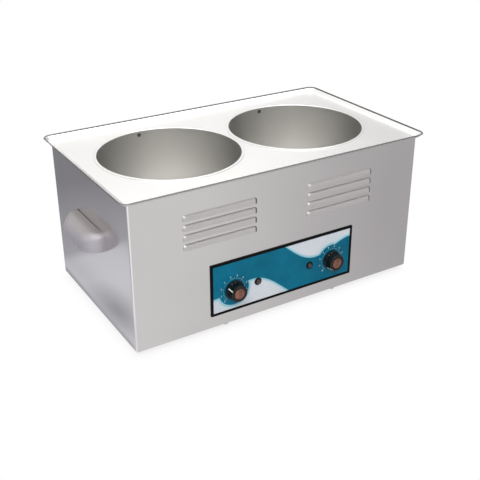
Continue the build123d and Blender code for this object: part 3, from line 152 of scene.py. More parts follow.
def ramp(tree, value, start, stop, low=0.0, high=1.0):
    """Low up to start, high from stop on, and a straight ramp between them."""
    limits = {"From Min": start, "From Max": stop, "To Min": low, "To Max": high}
    return put(tree, "ShaderNodeMapRange", {"Value": value, **limits}).outputs["Result"]


def fall(tree, value, start, stop):
    """1 up to start, 0 from stop on, and a straight ramp between them."""
    return ramp(tree, value, start, stop, 1.0, 0.0)


def spread(tree, mask, low, high):
    """Maps a mask of 0 to 1 onto low to high."""
    return ramp(tree, mask, 0.0, 1.0, low, high)


def new_group(name, inputs, outputs):
    """Empty shader group: inputs are (name, kind, default), outputs are (name, kind). Returns its tree, the
    sockets that bring its inputs, and those that take its outputs."""
    tree = bpy.data.node_groups.new(name, "ShaderNodeTree")
    for label, kind, default in inputs:
        socket = tree.interface.new_socket(label, in_out="INPUT", socket_type=kind)
        socket.default_value = default
    for label, kind in outputs:
        tree.interface.new_socket(label, in_out="OUTPUT", socket_type=kind)
    return tree, put(tree, "NodeGroupInput").outputs, put(tree, "NodeGroupOutput").inputs


def noise(tree, place, density, detail, roughness=0.5):
    """One Noise Texture, 0 to 1."""
    values = {"Vector": place, "Scale": density, "Detail": detail, "Roughness": roughness}
    return put(tree, "ShaderNodeTexNoise", values).outputs["Fac"]


# Shared groups
FLOAT, VECTOR = "NodeSocketFloat", "NodeSocketVector"
COARSE_SHARE = 0.45     # the coarser noise's share of the grain's mask
COARSE_DENSITY = 0.16   # and its density, as a share of the fine one's


def grain_group():
    """Lines or grains: noise on Object coordinates multiplied by Stretch, so a small factor along an
    axis draws the grain out along it. Height is fine, Mask is the same with a coarser noise added."""
    sockets = [("Stretch", VECTOR, (1, 1, 1)), ("Density", FLOAT, 400.0)]
    tree, given, out = new_group("Grain", sockets, [("Height", FLOAT), ("Mask", FLOAT)])
    drawn = vector_step(tree, "MULTIPLY", place_in(tree), given["Stretch"])[0]
    fine = noise(tree, drawn, given["Density"], detail=5.0, roughness=0.65)
    coarse = noise(tree, drawn, product(tree, given["Density"], COARSE_DENSITY), detail=3.0)
    tree.links.new(fine, out["Height"])
    shares = product(tree, fine, 1 - COARSE_SHARE), product(tree, coarse, COARSE_SHARE)
    tree.links.new(arithmetic(tree, "ADD", *shares), out["Mask"])
    return tree


def cloud_group():
    """Slow, cloudy unevenness of a handled or rolled surface, 0 to 1: noise drawn apart about its middle
    by Contrast."""
    sockets = [("Density", FLOAT, 12.0), ("Contrast", FLOAT, 2.0)]
    tree, given, out = new_group("Cloud", sockets, [("Mask", FLOAT)])
    clouds = noise(tree, place_in(tree), given["Density"], detail=4.0, roughness=0.55)
    centred = arithmetic(tree, "SUBTRACT", clouds, 0.5)
    mask = arithmetic(tree, "MULTIPLY_ADD", centred, given["Contrast"], 0.5, clamp=True)
    tree.links.new(mask, out["Mask"])
    return tree


def rings_group():
    """Fine turned rings round the axis along Y through Centre: (1 + sin(2 pi * distance / Pitch)) / 2."""
    sockets = [("Centre", VECTOR, (0, 0, 0)), ("Pitch", FLOAT, 0.4 * MM)]
    tree, given, out = new_group("TurnedRings", sockets, [("Height", FLOAT)])
    turns = arithmetic(tree, "DIVIDE", from_axis(tree, place_in(tree), given["Centre"]), given["Pitch"])
    wave = arithmetic(tree, "SINE", product(tree, turns, TAU))
    tree.links.new(arithmetic(tree, "MULTIPLY_ADD", wave, 0.5, 0.5), out["Height"])
    return tree


GRAIN, CLOUD, RINGS = grain_group(), cloud_group(), rings_group()


def group_in(tree, group, **values):
    """Places a group in a material with its own values or sockets; returns its outputs."""
    return put(tree, "ShaderNodeGroup", values, node_tree=group).outputs


def bare_material(name, metallic=0.0):
    """New material with a Principled shader; returns it, its tree and the shader."""
    material = bpy.data.materials.new(name)
    material.use_nodes = True
    tree = material.node_tree
    shader = next(n for n in tree.nodes if n.type == "BSDF_PRINCIPLED")
    shader.inputs["Metallic"].default_value = metallic
    return material, tree, shader


def lift_surface(tree, shader, height, strength, reach=0.1 * MM):
    """A Bump node on the shader's Normal: reach is the height in metres that a full mask stands for."""
    bump = put(tree, "ShaderNodeBump", {"Strength": strength, "Distance": reach, "Height": height})
    tree.links.new(bump.outputs["Normal"], shader.inputs["Normal"])


def finish_of(name, colour, shade, rough, density, cloud, bump, stretch=(1, 1, 1), reach=0.1 * MM,
              metallic=0.0, **constants):
    """A finish from the shared groups: colour drifts to shade with the clouds, the grain sets the
    roughness between two values and lifts the surface a little. Constants go on the shader itself."""
    material, tree, shader = bare_material(name, metallic)
    grain = group_in(tree, GRAIN, Stretch=stretch, Density=density)
    drift = group_in(tree, CLOUD, Density=cloud, Contrast=2.0)["Mask"]
    tree.links.new(blend_colours(tree, drift, colour, shade), shader.inputs["Base Color"])
    tree.links.new(spread(tree, grain["Mask"], *rough), shader.inputs["Roughness"])
    lift_surface(tree, shader, grain["Height"], bump, reach)
    for label, value in constants.items():
        shader.inputs[label.replace("_", " ").title().replace("Ior", "IOR")].default_value = value
    return material


# Housing sheet: louvres are what stands proud of the front wall's face, and a fold is where the sheet
# faces between two walls
WALL_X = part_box("housing")[1].x                      # outer face of the side walls
FRONT_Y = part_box("panel_label")[1].y                 # outer face of the front wall
PROUD_Y = (FRONT_Y - 0.4 * MM, FRONT_Y - 0.1 * MM)
SIDE_FACING = 0.7                                    # sheet that faces sideways more than this is a side
FOLD_FACING = (0.15, 0.45)
FOLD_HIGHLIGHT = 0.6                                     # strength of the painted highlight on a fold
LOUVRE_ROUGHNESS = 0.66


def folded_steel_finish():
    """Brushed sheet whose lines run level round the folds: along X on the faces that look forwards or back,
    along Y on the smoother sides. The folds and the louvres' left ends carry a painted highlight; the
    louvres' tops and right ends carry painted shade."""
    material, tree, shader = bare_material("housing_steel", metallic=1.0)
    facing, place = axes_of(tree, facing_in(tree)), axes_of(tree, place_in(tree))
    sideways = arithmetic(tree, "ABSOLUTE", facing["X"])
    lengthways = arithmetic(tree, "ABSOLUTE", facing["Y"])
    on_side = arithmetic(tree, "GREATER_THAN", sideways, SIDE_FACING)
    lines = mix(tree, "VECTOR", on_side, (0.02, 1, 1), (1, 0.02, 1))
    grain = group_in(tree, GRAIN, Stretch=lines, Density=1500.0)
    drift = group_in(tree, CLOUD, Density=5.0, Contrast=2.0)["Mask"]

    louvre = fall(tree, place["Y"], *PROUD_Y)
    # Painted shade on the louvres' tops and right ends
    top = product(tree, ramp(tree, facing["Z"], 0.2, 0.7), louvre)
    right_end_shade = product(tree, ramp(tree, facing["X"], 0.05, 0.35), louvre)
    # Painted highlight on the louvres' upper left ends
    upper_left = product(tree, fall(tree, facing["X"], -0.4, -0.1), ramp(tree, facing["Z"], 0.1, 0.4))
    left_end_highlight = product(tree, upper_left, louvre)
    # Painted highlight on the folds, kept off the louvres
    fold_highlight = product(tree, ramp(tree, sideways, *FOLD_FACING), ramp(tree, lengthways, *FOLD_FACING))
    fold_highlight = arithmetic(tree, "MULTIPLY", fold_highlight, arithmetic(tree, "SUBTRACT", FOLD_HIGHLIGHT, louvre), clamp=True)

    sheet = blend_colours(tree, drift, srgb(216, 213, 213), srgb(208, 204, 205))
    # Painted shade on the louvres' tops
    sheet = blend_colours(tree, top, sheet, srgb(194, 190, 190))
    # Painted highlight, near white, on the folds and the louvres' left ends
    sheet = blend_colours(tree, largest(tree, fold_highlight, left_end_highlight), sheet, srgb(250, 249, 251))
    # Painted shade on the louvres' right ends
    sheet = blend_colours(tree, right_end_shade, sheet, srgb(112, 108, 110))
    tree.links.new(sheet, shader.inputs["Base Color"])
    front_rough, side_rough = spread(tree, grain["Mask"], 0.2, 0.3), spread(tree, grain["Mask"], 0.1, 0.18)
    rough = between(tree, on_side, front_rough, side_rough)
    tree.links.new(between(tree, louvre, rough, LOUVRE_ROUGHNESS), shader.inputs["Roughness"])
    lift_surface(tree, shader, grain["Height"], 0.02)
    return material


# Tray sheet: a painted dark line of shade round the tip of the rim
TRAY_LOW, TRAY_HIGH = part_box("top_tray")
TRAY_HALF = {"X": (TRAY_HIGH.x - TRAY_LOW.x) / 2, "Y": (TRAY_HIGH.y - TRAY_LOW.y) / 2}
TRAY_CORNER_R = 11.5 * MM
EDGE_SHADE_W = 1.5 * MM
EDGE_SHADE_SOFT = 0.3 * EDGE_SHADE_W                         # the painted shade's soft border, outside its width
EDGE_SHADE_SHIFT = 0.8 * MM                                # the band is wider by this at the rear and right
EDGE_BAND_ROUGHER = 0.2
LIGHTER_SHADE_X, LIGHTER_SHADE_Y = (-0.205, -0.190), (-0.118, -0.103)  # the painted shade is paler on the left and front rim up to here


def tray_finish():
    """Brushed bright sheet with a band of painted shade, darker than the sheet, along its outline: reach is
    the distance from the rounded rectangle's inner one, whose corners are the centres of the outline's
    corners."""
    material, tree, shader = bare_material("tray_steel", metallic=1.0)
    place = axes_of(tree, place_in(tree))
    past = []
    for axis, half in TRAY_HALF.items():
        moved = arithmetic(tree, "ADD", place[axis], EDGE_SHADE_SHIFT)
        out = arithmetic(tree, "SUBTRACT", arithmetic(tree, "ABSOLUTE", moved), half - TRAY_CORNER_R)
        past.append(largest(tree, out, 0.0))
    reach = arithmetic(tree, "SQRT", arithmetic(tree, "ADD", *(product(tree, out, out) for out in past)))
    inner = TRAY_CORNER_R - EDGE_SHADE_W
    edge_shade = ramp(tree, reach, inner - EDGE_SHADE_SOFT, inner)
    grain = group_in(tree, GRAIN, Stretch=(0.02, 1, 1), Density=1500.0)
    drift = group_in(tree, CLOUD, Density=6.0, Contrast=2.0)["Mask"]
    sheet = blend_colours(tree, drift, srgb(246, 245, 243), srgb(240, 239, 237))
    # Painted shade along the edge: darker at the rear and right, paler on the left and front rim
    lighter_shade = largest(tree, fall(tree, place["X"], *LIGHTER_SHADE_X), fall(tree, place["Y"], *LIGHTER_SHADE_Y))
    edge = blend_colours(tree, lighter_shade, srgb(92, 90, 90), srgb(126, 124, 124))
    tree.links.new(blend_colours(tree, edge_shade, sheet, edge), shader.inputs["Base Color"])
    rough = spread(tree, grain["Mask"], 0.26, 0.4)
    tree.links.new(arithmetic(tree, "MULTIPLY_ADD", edge_shade, EDGE_BAND_ROUGHER, rough), shader.inputs["Roughness"])
    lift_surface(tree, shader, grain["Height"], 0.03)
    return material


# Well metal: the rim lies on the tray's top
WELL_RIM_T = 0.9 * MM
TRAY_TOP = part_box("left_well")[1].z - WELL_RIM_T
RIM_Z = (TRAY_TOP - 0.3 * MM, TRAY_TOP + 0.3 * MM)    # heights at which the wall's finish becomes the rim's


def well_finish():
    """Satin drawn aluminium; the inside is painted darker than the rim that lies on the tray, as painted
    shade in the well.
    """
    material, tree, shader = bare_material("well_metal", metallic=1.0)
    on_rim = ramp(tree, axes_of(tree, place_in(tree))["Z"], *RIM_Z)
    drift = group_in(tree, CLOUD, Density=8.0, Contrast=2.0)["Mask"]
    # Painted shade: the inside of the well is darker than its rim
    drawn = blend_colours(tree, drift, srgb(233, 232, 229), srgb(226, 225, 222))
    tree.links.new(blend_colours(tree, on_rim, drawn, srgb(244, 243, 241)), shader.inputs["Base Color"])
    grain = group_in(tree, GRAIN, Stretch=(1, 1, 0.03), Density=900.0)
    tree.links.new(spread(tree, grain["Mask"], 0.27, 0.37), shader.inputs["Roughness"])
    lift_surface(tree, shader, grain["Height"], 0.04)
    return material


# Painted shade in a line where a handle meets the wall: its soft width, and where it starts and deepens along
# Y
JOIN_SHADE_W = (0.4 * MM, 1.3 * MM)
JOIN_SHADE_START_Y, JOIN_SHADE_DEEP_Y = (-0.040, -0.022), (0.026, 0.034)


def handle_finish():
    """Satin steel with painted shade on its top, and a painted dark line of shade where it meets the wall."""
    material, tree, shader = bare_material("handle_steel", metallic=1.0)
    facing, place = axes_of(tree, facing_in(tree)), axes_of(tree, place_in(tree))
    from_wall = arithmetic(tree, "SUBTRACT", arithmetic(tree, "ABSOLUTE", place["X"]), WALL_X)
    # Painted shade along the join with the wall, from near the front end back
    join_shade = product(tree, fall(tree, from_wall, *JOIN_SHADE_W), ramp(tree, place["Y"], *JOIN_SHADE_START_Y))
    # Painted shade: the handle's top is painted darker
    top_shade = ramp(tree, facing["Z"], 0.5, 0.9)
    drift = group_in(tree, CLOUD, Density=16.0, Contrast=2.0)["Mask"]
    sheet = blend_colours(tree, drift, srgb(211, 207, 213), srgb(202, 198, 204))
    sheet = blend_colours(tree, top_shade, sheet, srgb(176, 172, 171))
    # The painted shade darkens towards the rear end
    deeper_shade = ramp(tree, place["Y"], *JOIN_SHADE_DEEP_Y)
    join_shade_colour = blend_colours(tree, deeper_shade, srgb(112, 110, 112), srgb(44, 42, 42))
    tree.links.new(blend_colours(tree, join_shade, sheet, join_shade_colour), shader.inputs["Base Color"])
    grain = group_in(tree, GRAIN, Stretch=(1, 0.03, 1), Density=1400.0)
    tree.links.new(spread(tree, grain["Mask"], 0.58, 0.68), shader.inputs["Roughness"])
    lift_surface(tree, shader, grain["Height"], 0.02)
    return material


housing_steel, tray_steel = folded_steel_finish(), tray_finish()
well_metal, handle_steel = well_finish(), handle_finish()

# Plain finishes: colour, its shade, and the range of roughness
strip_steel = finish_of("strip_steel", srgb(178, 176, 172), srgb(160, 158, 155), (0.32, 0.5),
                        stretch=(1, 1, 0.05), density=700, cloud=18, bump=0.08, metallic=1.0)
zinc = finish_of("zinc_plate", srgb(206, 206, 208), srgb(190, 190, 186), (0.24, 0.38),
                 density=1800, cloud=60, bump=0.05, metallic=1.0)
turned_steel = finish_of("turned_steel", srgb(196, 195, 193), srgb(184, 183, 181), (0.2, 0.32),
                         stretch=(1, 0.1, 1), density=2400, cloud=80, bump=0.05, metallic=1.0)
copper = finish_of("copper", srgb(214, 138, 98), srgb(186, 112, 80), (0.28, 0.42),
                   density=900, cloud=60, bump=0.05, metallic=1.0)
brass = finish_of("brass", srgb(214, 184, 108), srgb(196, 164, 92), (0.22, 0.36),
                  density=1200, cloud=90, bump=0.05, metallic=1.0)
felt = finish_of("glass_felt", srgb(232, 228, 214), srgb(214, 208, 192), (0.82, 0.95),
                 stretch=(1, 1, 0.4), density=420, cloud=30, bump=0.6, reach=0.8 * MM, sheen_weight=0.3)
ceramic = finish_of("switch_ceramic", srgb(228, 224, 212), srgb(218, 213, 199), (0.42, 0.56),
                    density=1600, cloud=40, bump=0.08)
cream_plastic = finish_of("block_plastic", srgb(232, 228, 216), srgb(226, 221, 207), (0.36, 0.46),
                          density=2200, cloud=30, bump=0.05)
rivet_steel = finish_of("rivet_steel", srgb(120, 118, 112), srgb(92, 90, 86), (0.3, 0.45),
                        density=1800, cloud=200, bump=0.05, metallic=1.0)
black_frame = finish_of("frame_plastic", srgb(4, 5, 6), srgb(8, 9, 10), (0.42, 0.56),
                        density=2600, cloud=40, bump=0.12, specular_ior_level=0.08)
knob_plastic = finish_of("knob_plastic", srgb(7, 6, 7), srgb(12, 11, 12), (0.24, 0.36),
                         density=2600, cloud=90, bump=0.06, specular_ior_level=0.35)
gland_nylon = finish_of("gland_nylon", srgb(26, 26, 27), srgb(34, 34, 35), (0.4, 0.55),
                        density=2200, cloud=60, bump=0.1)
rubber = finish_of("foot_rubber", srgb(28, 28, 28), srgb(38, 37, 36), (0.62, 0.8),
                   density=1800, cloud=50, bump=0.25, reach=0.2 * MM)
white_inlay = finish_of("pointer_paint", srgb(240, 238, 234), srgb(226, 223, 218), (0.35, 0.5),
                        density=2000, cloud=200, bump=0.05)
red_lens = finish_of("lens_plastic", srgb(58, 10, 12), srgb(40, 6, 8), (0.08, 0.16),
                     density=900, cloud=200, bump=0.04, coat_weight=0.6, coat_roughness=0.05)
print_white = finish_of("print_ink", srgb(238, 242, 244), srgb(228, 234, 238), (0.3, 0.42),
                        density=2600, cloud=120, bump=0.03)

# Turned rings of the dials' caps
RING_PITCH, RING_LIFT = 0.45 * MM, 0.06 * MM


def cap_finish(name, centre):
    """Polished warm metal with fine turned rings round the dial's axis."""
    material, tree, shader = bare_material(name, metallic=1.0)
    rings = group_in(tree, RINGS, Centre=centre, Pitch=RING_PITCH)["Height"]
    drift = group_in(tree, CLOUD, Density=140.0, Contrast=2.0)["Mask"]
    metal = blend_colours(tree, drift, srgb(176, 124, 106), srgb(86, 58, 53))
    tree.links.new(metal, shader.inputs["Base Color"])
    tree.links.new(spread(tree, rings, 0.12, 0.26), shader.inputs["Roughness"])
    lift_surface(tree, shader, rings, 0.25, RING_LIFT)
    return material


# The panel's print: two soft swells of white on teal, kept clear of a round field at each dial
PANEL_LOW, PANEL_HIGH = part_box("panel_label")
PANEL_HALF_W, PANEL_HALF_H = (PANEL_HIGH.x - PANEL_LOW.x) / 2, (PANEL_HIGH.z - PANEL_LOW.z) / 2
DIAL_FIELD_R = 20.5 * MM
BODY_EDGE, FRINGE_EDGE = (0.05, 0.13), (-0.015, 0.02)   # soft borders, in half heights of the panel


def panel_finish():
    """White where height is under a low swell from the left or over a high swell from the right,
    with a pale blue fringe at the edges; teal elsewhere and within a circle round each dial."""
    material, tree, shader = bare_material("panel_print")
    place = place_in(tree)
    offset = axes_of(tree, vector_step(tree, "SUBTRACT", place, tuple(middle("panel_label")))[0])
    across = arithmetic(tree, "DIVIDE", offset["X"], PANEL_HALF_W)   # -1 to 1
    height = arithmetic(tree, "DIVIDE", offset["Z"], PANEL_HALF_H)   # -1 to 1

    def swell(sign, level, slope, size, waves, phase):
        """Signed height inside a swell: sign * (level + slope * x + size * sin(waves * x + phase) - z)."""
        wave = arithmetic(tree, "SINE", arithmetic(tree, "MULTIPLY_ADD", across, waves, phase))
        line = arithmetic(tree, "MULTIPLY_ADD", across, slope, level)
        line = arithmetic(tree, "MULTIPLY_ADD", wave, size, line)
        return product(tree, arithmetic(tree, "SUBTRACT", line, height), sign)

    low = swell(sign=1.0, level=-0.74, slope=-0.80, size=0.44, waves=4.6, phase=3.28)
    high = swell(sign=-1.0, level=0.90, slope=-0.66, size=0.46, waves=4.6, phase=-3.41)
    inside = largest(tree, low, high)
    for side in OUTWARD:
        from_dial = from_axis(tree, place, tuple(middle(f"{side}_shaft")))
        past_field = arithmetic(tree, "SUBTRACT", from_dial, DIAL_FIELD_R)
        inside = arithmetic(tree, "MINIMUM", inside, arithmetic(tree, "DIVIDE", past_field, PANEL_HALF_H))
    drift = group_in(tree, CLOUD, Density=30.0, Contrast=2.2)["Mask"]
    teal = blend_colours(tree, drift, srgb(0, 96, 124), srgb(3, 116, 146))
    pale = blend_colours(tree, drift, srgb(222, 226, 232), srgb(206, 214, 224))
    print_colour = blend_colours(tree, ramp(tree, inside, *FRINGE_EDGE), teal, srgb(150, 205, 220))
    print_colour = blend_colours(tree, ramp(tree, inside, *BODY_EDGE), print_colour, pale)
    tree.links.new(print_colour, shader.inputs["Base Color"])
    grain = group_in(tree, GRAIN, Density=1800.0)
    tree.links.new(spread(tree, grain["Mask"], 0.3, 0.44), shader.inputs["Roughness"])
    shader.inputs["Specular IOR Level"].default_value = 0.1
    lift_surface(tree, shader, grain["Height"], 0.04)
    return material


# Shapes of the pieces
CREASE = math.radians(35)                            # a sharper edge than this isn't smoothed over
SAME_POINT, NO_LENGTH = 0.0002 * MM, 0.00001 * MM    # doubled points, and edges too short to keep


def new_piece(name, points, faces, material, body):
    """Puts a mesh of points and faces into the scene and rides it on a body."""
    mesh = bpy.data.meshes.new(name)
    mesh.from_pydata(points, [], faces)
    mesh.materials.append(material)
    piece = bpy.data.objects.new(name, mesh)
    bpy.context.collection.objects.link(piece)
    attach(piece, body)
    return piece


def close_mesh(mesh):
    """Merges doubled points at seams and poles, drops faces with no area, and turns faces outwards."""
    work = bmesh.new()
    work.from_mesh(mesh)
    bmesh.ops.remove_doubles(work, verts=work.verts, dist=SAME_POINT)
    bmesh.ops.dissolve_degenerate(work, edges=work.edges, dist=NO_LENGTH)
    bmesh.ops.recalc_face_normals(work, faces=work.faces)
    work.to_mesh(mesh)
    work.free()
    mesh.update()


def add_surface(name, surface, material, body, covers):
    """A closed, smooth piece from a (points, faces) pair, shown in place of one CAD node."""
    points, faces = surface
    piece = new_piece(name, points.tolist(), faces.tolist(), material, body)
    close_mesh(piece.data)
    piece.data.shade_smooth()
    piece.data.set_sharp_from_angle(angle=CREASE)
    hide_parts(covers)


def tube_faces(rows, columns):
    """Quads of a grid of points counted row by row, whose last column joins its first."""
    i, j = np.arange(rows - 1)[:, None], np.arange(columns)[None, :]
    here, beside = i * columns + j, i * columns + (j + 1) % columns
    return np.stack([here, beside, beside + columns, here + columns], -1).reshape(-1, 4)


def bend(centre, radius, start, stop, steps):
    """Points of an arc in a profile's plane, in degrees."""
    a = np.radians(np.linspace(start, stop, steps + 1))
    return np.stack([centre[0] + radius * np.cos(a), centre[1] + radius * np.sin(a)], -1)


def joined(*runs):
    """One profile from points and arcs."""
    return np.concatenate([np.atleast_2d(np.asarray(run, float)) for run in runs])


def axis_frame(direction):
    """Two unit vectors across a direction, and the direction."""
    along = np.array(direction, float)
    first = np.array([1.0, 0, 0]) if abs(along[0]) < 0.5 else np.array([0, 1.0, 0])
    return first, np.cross(along, first), along


def lathe(profile, origin, direction, steps, ripple=None):
    """Surface of turning: the point at angle a and height h is origin + h * direction + r * (cos a, sin a)
    across it, with r multiplied by ripple(a, h) where one is given."""
    first, second, along = axis_frame(direction)
    angle = np.linspace(0, TAU, steps, endpoint=False)[None, :, None]
    r, h = profile[:, 0][:, None, None], profile[:, 1][:, None, None]
    if ripple is not None:
        r = r * ripple(angle, h)
    points = np.array(origin) + h * along + r * (np.cos(angle) * first + np.sin(angle) * second)
    return points.reshape(-1, 3), tube_faces(len(profile), steps)


def stacked(*surfaces):
    """Several (points, faces) pairs as one."""
    starts = np.cumsum([0] + [len(points) for points, _ in surfaces[:-1]])
    points = np.concatenate([points for points, _ in surfaces])
    return points, np.concatenate([faces + start for (_, faces), start in zip(surfaces, starts)])


# Wells: drawn cups with rounded floors and a thin rim that lies on the tray
WELL_R, WELL_WALL, WELL_FLOOR_R = 87.0 * MM, 1.0 * MM, 12.0 * MM
WELL_RIM_W, WELL_LIP_R, WELL_EDGE_R = 3.6 * MM, 0.7 * MM, 0.3 * MM
WELL_DEPTH = 130.0 * MM
FLOOR_RING_R = 0.45 * WELL_R     # a ring of points that divides the flat floor


def well_profile():
    """Half section of a well from the middle of its floor, up inside, over the rim, and back underneath."""
    floor, top = TRAY_TOP - WELL_DEPTH, TRAY_TOP + WELL_RIM_T
    turn = (WELL_R - WELL_FLOOR_R, floor + WELL_FLOOR_R)
    return joined(
        (0, floor), (FLOOR_RING_R, floor), bend(turn, WELL_FLOOR_R, -90, 0, 14),
        np.linspace((WELL_R, floor + WELL_FLOOR_R), (WELL_R, top - WELL_LIP_R), 14)[1:-1],
        bend((WELL_R + WELL_LIP_R, top - WELL_LIP_R), WELL_LIP_R, 180, 90, 6),
        bend((WELL_R + WELL_RIM_W - WELL_EDGE_R, top - WELL_EDGE_R), WELL_EDGE_R, 90, 0, 4),
        (WELL_R + WELL_RIM_W, TRAY_TOP), (WELL_R + WELL_WALL, TRAY_TOP),
        bend(turn, WELL_FLOOR_R + WELL_WALL, 0, -90, 14), (FLOOR_RING_R, floor - WELL_WALL),
        (0, floor - WELL_WALL),
    )


for side in OUTWARD:
    well_x, well_y, _ = middle(f"{side}_well")
    well = lathe(well_profile(), (well_x, well_y, 0.0), (0, 0, 1), steps=224)
    add_surface(f"{side}_well_shell", well, well_metal, FRAME_BODY, f"{side}_well")

# Rivets just under the rim, front and back of each well, with low domed heads inside
RIVET_R, RIVET_HEAD_R, RIVET_HEAD_H, RIVET_DROP = 1.25 * MM, 2.7 * MM, 0.6 * MM, 4.5 * MM
RIVET_TAIL_R, RIVET_TAIL_H, RIVET_GRIP = 2.3 * MM, 1.2 * MM, 2.4 * MM
RIVET_CROWN_R = 0.7 * RIVET_TAIL_R     # the tail narrows to this
RIVET_UNDERCUT, RIVET_PRESS = 0.05 * MM, 0.02 * MM


def rivet(centre, end):
    """Turned rivet along Y through a well's front or rear wall: domed head, shank and upset tail. The
    head's height at radius r is RIVET_HEAD_H * (1 - (r / RIVET_HEAD_R) squared)."""
    r = np.linspace(0, RIVET_HEAD_R, 9)
    tail = RIVET_GRIP + RIVET_TAIL_H
    profile = joined(
        np.stack([r, -RIVET_HEAD_H * (1 - (r / RIVET_HEAD_R) ** 2)], -1), (RIVET_R, RIVET_UNDERCUT),
        (RIVET_R, RIVET_GRIP), (RIVET_TAIL_R, RIVET_GRIP), (RIVET_CROWN_R, tail), (0, tail),
    )
    spot = (centre[0], centre[1] + end * (WELL_R - RIVET_PRESS), TRAY_TOP - RIVET_DROP)
    return lathe(profile, spot, (0, end, 0), steps=40)


rivets = [rivet(middle(f"{side}_well"), end) for side in OUTWARD for end in (-1, 1)]
add_surface("well_rivet_set", stacked(*rivets), rivet_steel, FRAME_BODY, "well_rivets")

# Cup handles: one closed section carried along a straight run, and round a quarter turn at each end
HANDLE_OUT, HANDLE_R, HANDLE_WALL, HANDLE_EDGE = 24.95 * MM, 19.0 * MM, 2.4 * MM, 0.9 * MM
HANDLE_END_R = 7.0 * MM
HANDLE_W = 88.0 * MM
TURN_STEPS = 25                        # sections in each quarter turn
MOUTH_RISE = 10.0 * MM
BOSS_R, BOSS_L, BOSS_Y, BOSS_DROP = 4.4 * MM, 14.0 * MM, 24.0 * MM, 6.0 * MM


def cup_section(height, corner_r):
    """Closed section from the wall along the outside, round the lower edge and back along the inside:
    columns are the distance from the wall and the height, squeezed upwards towards the wall so that
    the mouth climbs by MOUTH_RISE * (1 - distance / HANDLE_OUT)."""
    e, t = HANDLE_EDGE, HANDLE_WALL
    shoulder = (HANDLE_OUT - corner_r, height - corner_r)
    flat = joined(
        (0, height), bend(shoulder, corner_r, 90, 0, 18), bend((HANDLE_OUT - e, e), e, 0, -90, 5),
        bend((HANDLE_OUT - t + e, e), e, -90, -180, 5), bend(shoulder, corner_r - t, 0, 90, 18),
        (0, height - t),
    )
    mouth = MOUTH_RISE * (1 - flat[:, 0] / HANDLE_OUT)
    return np.stack([flat[:, 0], mouth + flat[:, 1] * (1 - mouth / height)], -1)


def end_caps(rows, columns):
    """Quads that close a wall's first and last section: point i outside and its opposite inside."""
    i = np.arange(columns // 2 - 1)
    cap = np.stack([i, i + 1, columns - 2 - i, columns - 1 - i], -1)
    return np.concatenate([cap, cap + (rows - 1) * columns])


def cup_handle(node, outward):
    """Cup handle on its side wall: reach * (cos t, sin t) round each end and straight between them; the
    section's corner radius falls from HANDLE_R to HANDLE_END_R with sin(t) squared, so that the top is
    squarer at the wall."""
    low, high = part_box(node)
    wall_x, mid_y = (high.x if outward < 0 else low.x), (low.y + high.y) / 2
    quarter = np.radians(np.linspace(90, 0, TURN_STEPS))
    turn = np.concatenate([quarter, -quarter[::-1]])
    corner_r = HANDLE_R + (HANDLE_END_R - HANDLE_R) * np.sin(turn) ** 2
    section = np.stack([cup_section(high.z - low.z, r) for r in corner_r])
    run = HANDLE_W / 2 - HANDLE_OUT
    shift = np.repeat([run, -run], TURN_STEPS)[:, None]
    reach, turn = section[..., 0], turn[:, None]
    x, y = wall_x + outward * reach * np.cos(turn), mid_y + shift + reach * np.sin(turn)
    points = np.stack([x, y, low.z + section[..., 1]], -1).reshape(-1, 3)
    rows, columns = section.shape[:2]
    cup = (points, np.concatenate([tube_faces(rows, columns), end_caps(rows, columns)]))
    post = joined((0, 0), (BOSS_R, 0), (BOSS_R, BOSS_L), (0, BOSS_L))
    places = [(wall_x, mid_y + end * BOSS_Y, high.z - BOSS_DROP) for end in (-1, 1)]
    return stacked(cup, *(lathe(post, place, (outward, 0, 0), steps=32) for place in places))


for side, outward in OUTWARD.items():
    handle = cup_handle(f"{side}_handle", outward)
    add_surface(f"{side}_cup_handle", handle, handle_steel, FRAME_BODY, f"{side}_handle")

# Knobs: a turned grip with rounded flutes between a smooth skirt and a smooth face
FORWARDS = (0, -1, 0)
KNOB_R, KNOB_GRIP_R, KNOB_FACE_R, KNOB_L = 12.5 * MM, 11.5 * MM, 10.9 * MM, 12.5 * MM
BACK_R, BACK_DEPTH = 9.4 * MM, 4.6 * MM                      # hollow in the knob's back
BACK_EDGE_R, SKIRT_EDGE_R, FACE_EDGE_R = 0.4 * MM, 0.5 * MM, 0.9 * MM
SKIRT_T, STEP_W, STEP_H = 2.4 * MM, 0.05 * MM, 0.1 * MM      # skirt, and the small step up to the grip
FLUTES, FLUTE_DEPTH = 16, 0.075
FLUTE_FOOT, FLUTE_RISE = 0.3 * MM, 1.4 * MM                  # a flute's start above the skirt, and its run
FLUTE_HEAD, FLUTE_FALL = 0.5 * MM, 1.5 * MM                  # the same below the face
POINTER_ANGLE = {"left": math.radians(150), "right": math.radians(225)}
CAP_R, CAP_T, CAP_DOME = 6.6 * MM, 1.1 * MM, 0.7 * MM
CAP_SEAT_GAP, CAP_SEAT_BEVEL = 0.02 * MM, 0.15 * MM
CAP_SIDE_GAP, CAP_DOME_INSET = 0.05 * MM, 0.1 * MM
LENS_DOME = 1.6 * MM


